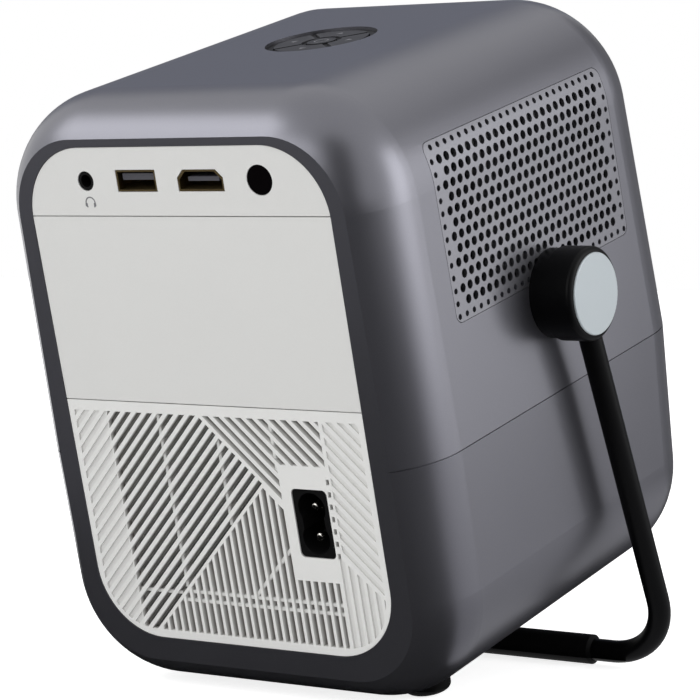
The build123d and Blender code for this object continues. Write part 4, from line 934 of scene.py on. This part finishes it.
@dataclass
class Stand(SubAssembly):
    """The bent steel stand with its rubber sleeve, and the hubs it turns on."""

    finishes: Dress = (
        ("powder_coated_black_steel", ("stand_frame", "hub_heads", "hub_bases", "pivot_shafts")),
        ("matt_black_rubber", ("stand_sleeve",)),
        ("satin_anodised_cap", ("hub_caps",)),
    )


@dataclass
class Front(SubAssembly):
    """The front face: gloss panel, lens ring, focus ring, and the lens and light engine behind it."""

    finishes: Dress = (
        ("polished_black_abs", ("front_panel",)),
        ("turned_anodised_ring", ("lens_bezel", "focus_ring", "lens_barrel")),
        ("coated_optical_glass", ("front_lens", "rear_lens", "condenser_lens", "fresnel_lenses")),
        ("moulded_black_pbt", ("engine_case",)),
        ("infrared_black_polycarbonate", ("lcd_panel",)),
        ("extruded_aluminium", ("led_heatsink",)),
        ("green_solder_resist_board", ("led_board",)),
    )


@dataclass
class DiscDrive(SubAssembly):
    """The drawer loader: chassis, drawer, rails, motor, turntable and pick-up."""

    finishes: Dress = (
        ("zinc_plated_sheet_steel", ("loader_chassis", "loader_cover")),
        ("moulded_black_pbt", ("disc_tray", "tray_rails", "turntable")),
        ("gunmetal_flake_lacquer_on_abs", ("tray_bezel",)),
        ("soft_touch_dark_keys", ("eject_button",)),
        ("bright_nickel_plate", ("sled_rods", "spindle_motor")),
        ("dark_epoxy_and_paper", ("pickup_sled",)),
    )


@dataclass
class Interior(SubAssembly):
    """The boards, supply, fan and chassis that the vents and openings show in part."""

    finishes: Dress = (
        ("green_solder_resist_board", ("main_board", "power_board")),
        ("dark_epoxy_and_paper", ("power_parts",)),
        ("zinc_plated_sheet_steel", ("chassis_plate",)),
        ("moulded_black_pbt", ("fan_frame", "fan_rotor")),
    )


# ---- studio -------------------------------------------------------------------------------------------
@dataclass
class SoftBox:
    """A rectangular soft lamp that faces the object."""

    name: str
    place: tuple[float, float, float]
    size: tuple[float, float]
    power: float
    aim: tuple[float, float, float] = (0.0, 0.0, 0.09)

    def build(self) -> None:
        """Makes the lamp, turned to the object's middle. The camera doesn't see it."""
        data = bpy.data.lights.new(self.name, "AREA")
        data.shape = "RECTANGLE"
        data.size, data.size_y = self.size
        data.energy = self.power
        lamp = bpy.data.objects.new(self.name, data)
        lamp.location = self.place
        lamp.visible_camera = False
        lamp.rotation_mode = "QUATERNION"
        lamp.rotation_quaternion = (Vector(self.aim) - Vector(self.place)).to_track_quat("-Z", "Y")
        bpy.context.scene.collection.objects.link(lamp)
        LOG.info("lamp %s", self.name)


@dataclass
class GreyCard:
    """A grey card that only reflections see, as a photographer sets beside a shiny product."""

    name: str
    place: tuple[float, float, float]
    size: tuple[float, float]
    grey: str
    flat: bool = False

    def build(self) -> None:
        """Makes the card, upright and facing the object, or flat on the floor."""
        made, tree, shader = new_material(self.name + "_grey")
        tree.nodes.remove(shader)
        glow = add_node(tree, "ShaderNodeEmission", {"Color": linear(self.grey), "Strength": 1.0})
        tree.links.new(glow.outputs[0], tree.nodes["Material Output"].inputs["Surface"])
        work = bmesh.new()
        bmesh.ops.create_grid(work, x_segments=2, y_segments=2, size=0.5)
        mesh = bpy.data.meshes.new(self.name)
        work.to_mesh(mesh)
        work.free()
        mesh.transform(Matrix.Diagonal((*self.size, 1.0, 1.0)))
        if not self.flat:
            inwards = Vector((-self.place[0], -self.place[1], 0.0))
            mesh.transform(inwards.to_track_quat("Z", "Y").to_matrix().to_4x4())
        mesh.transform(Matrix.Translation(self.place))
        mesh.materials.append(made)
        card = bpy.data.objects.new(self.name, mesh)
        card.visible_camera = card.visible_diffuse = card.visible_shadow = card.visible_transmission = False
        bpy.context.scene.collection.objects.link(card)


def seen_directly(tree: bpy.types.NodeTree) -> bpy.types.NodeSocket:
    """Adds the test for what the eye sees, straight, through glass or in a reflection.

    Args:
        tree: the tree of the floor's material or the world.

    Returns:
        The test's output: 1 for such a ray, 0 for a ray of diffuse light.
    """
    path = add_node(tree, "ShaderNodeLightPath")
    direct = add_node(tree, "ShaderNodeMath", {"operation": "MAXIMUM"},
                      {0: path.outputs["Is Camera Ray"], 1: path.outputs["Is Transmission Ray"]})
    seen = add_node(tree, "ShaderNodeMath", {"operation": "MAXIMUM"},
                    {0: direct.outputs[0], 1: path.outputs["Is Glossy Ray"]})
    return seen.outputs[0]


@dataclass
class Studio:
    """The pale sweep, the soft lamps, the grey cards, the plain world and the camera of the photograph."""

    eye: tuple[float, float, float] = (-0.4995, 0.6978, 0.1389)
    right: tuple[float, float, float] = (-0.8126, -0.5828, -0.0027)
    up: tuple[float, float, float] = (0.0282, -0.0441, 0.9986)
    forward: tuple[float, float, float] = (0.5821, -0.8114, -0.0522)
    focal: float = 153.38
    sensor: float = 36.0
    clip: tuple[float, float] = (0.05, 20.0)
    floor_size: float = 6.0
    floor_cells: int = 12
    paper: tuple[str, str] = ("#f4f4f4", "#f7f7f7")
    fibre_scale: float = 900.0      # paper fibres about 1 mm wide
    paper_rough: float = 0.9
    paper_glow: float = 0.8         # what lifts the paper to white where it is seen
    world_light: float = 0.55
    world_seen: float = 1.0
    lamps: list[SoftBox] = field(default_factory=lambda: [
        SoftBox("rear_fill", (0.25, 1.5, 0.7), (1.2, 1.0), 6.8),
        SoftBox("side_band", (-1.22, -0.5, 0.4), (0.6, 1.2), 7.0),
        SoftBox("edge_top", (0.72, 0.6, 0.95), (0.7, 0.5), 2.9),
        SoftBox("near_band", (-0.37, -0.33, 0.14), (0.14, 0.5), 0.27),
    ])
    cards: list[GreyCard] = field(default_factory=lambda: [
        GreyCard("card_left", (-0.7, 0.85, 0.65), (0.62, 1.5), "#1c1c1d"),
        GreyCard("card_front", (-0.24, -1.18, 0.6), (1.0, 1.4), "#848487"),
        GreyCard("card_back", (0.58, -0.85, 0.22), (1.0, 0.5), "#6e6e70"),
        GreyCard("card_low", (-0.41, 0.4, 0.0015), (1.0, 0.76), "#404042", flat=True),
        GreyCard("card_floor_front", (-0.3, -0.75, 0.0015), (1.1, 0.9), "#666668", flat=True),
        GreyCard("card_top", (0.75, -0.85, 0.85), (1.1, 0.8), "#828696"),
        GreyCard("card_rear_low", (0.42, 0.42, 0.0015), (0.66, 0.76), "#5e5e60", flat=True),
        GreyCard("card_under", (-0.36, -0.14, 0.002), (0.6, 0.34), "#c4c4c7", flat=True),
        GreyCard("card_belly", (0.09, -0.16, 0.0022), (0.3, 0.38), "#0c0c0d", flat=True),
        GreyCard("card_strip", (-0.01, 0.12, 0.0026), (0.26, 0.18), "#050506", flat=True),
    ])

    def sweep_material(self) -> bpy.types.Material:
        """Builds the floor's material: white where it is seen, soft grey where a shadow falls.

        Returns:
            The material.
        """
        made, tree, shader = new_material("white_paper_sweep")
        place = add_node(tree, "ShaderNodeTexCoord")
        fibre = add_node(tree, "ShaderNodeTexNoise", {"Scale": self.fibre_scale, "Detail": 2.0},
                         {"Vector": place.outputs["Object"]})
        colours = add_node(tree, "ShaderNodeMix",
                           {"data_type": "RGBA", 6: linear(self.paper[0]), 7: linear(self.paper[1])},
                           {0: fibre.outputs["Fac"]})
        tree.links.new(colours.outputs[2], shader.inputs["Base Color"])
        shader.inputs["Roughness"].default_value = self.paper_rough
        level = add_node(tree, "ShaderNodeMath", {"operation": "MULTIPLY", 1: self.paper_glow},
                         {0: seen_directly(tree)})
        tree.links.new(level.outputs[0], shader.inputs["Emission Strength"])
        shader.inputs["Emission Color"].default_value = (1, 1, 1, 1)
        return made

    def floor(self) -> None:
        """Makes the floor as one flat sheet that the object stands on."""
        work = bmesh.new()
        bmesh.ops.create_grid(work, x_segments=self.floor_cells, y_segments=self.floor_cells,
                              size=self.floor_size / 2)
        mesh = bpy.data.meshes.new("paper_sweep")
        work.to_mesh(mesh)
        work.free()
        mesh.materials.append(self.sweep_material())
        sheet = bpy.data.objects.new("paper_sweep", mesh)
        bpy.context.scene.collection.objects.link(sheet)

    def world(self) -> None:
        """Makes the world: even grey light, and white where it is seen past the floor."""
        world = bpy.data.worlds.new("plain_studio")
        bpy.context.scene.world = world
        world.use_nodes = True
        tree = world.node_tree
        level = add_node(tree, "ShaderNodeMapRange",
                         {"To Min": self.world_light, "To Max": self.world_seen},
                         {"Value": seen_directly(tree)})
        ground = tree.nodes["Background"]
        ground.inputs["Color"].default_value = (1, 1, 1, 1)
        tree.links.new(level.outputs[0], ground.inputs["Strength"])

    def camera(self) -> None:
        """Makes the camera at the photograph's place and angle."""
        data = bpy.data.cameras.new("photo_camera")
        data.lens = self.focal
        data.sensor_width = self.sensor
        data.clip_start, data.clip_end = self.clip
        camera = bpy.data.objects.new("photo_camera", data)
        turn = Matrix((self.right, self.up, [-f for f in self.forward])).transposed().to_4x4()
        camera.matrix_world = Matrix.Translation(self.eye) @ turn
        bpy.context.scene.collection.objects.link(camera)
        bpy.context.scene.camera = camera

    def build(self) -> None:
        """Makes the whole studio."""
        self.floor()
        for thing in (*self.lamps, *self.cards):
            thing.build()
        self.world()
        self.camera()
        bpy.context.scene.view_settings.view_transform = "Standard"


def main() -> None:
    """Builds the sub-assemblies in order, then the studio."""
    palette = Palette()
    dresser = Dresser(palette)
    parts: list[SubAssembly] = [Housing(), RearPanels(), Grilles(), Keypad(), Stand(), Front(), DiscDrive(),
                                Interior(), HeadphoneMark()]
    for part in parts:
        part.dress(dresser)
        LOG.info("%s dressed", type(part).__name__)
    for part in parts:
        part.build(palette)
    if dresser.waiting:
        LOG.warning("nodes without a finish: %s", sorted(dresser.waiting))
    Studio().build()


if __name__ == "__main__":
    logging.basicConfig(level=logging.INFO, format="%(name)s %(message)s")
    main()
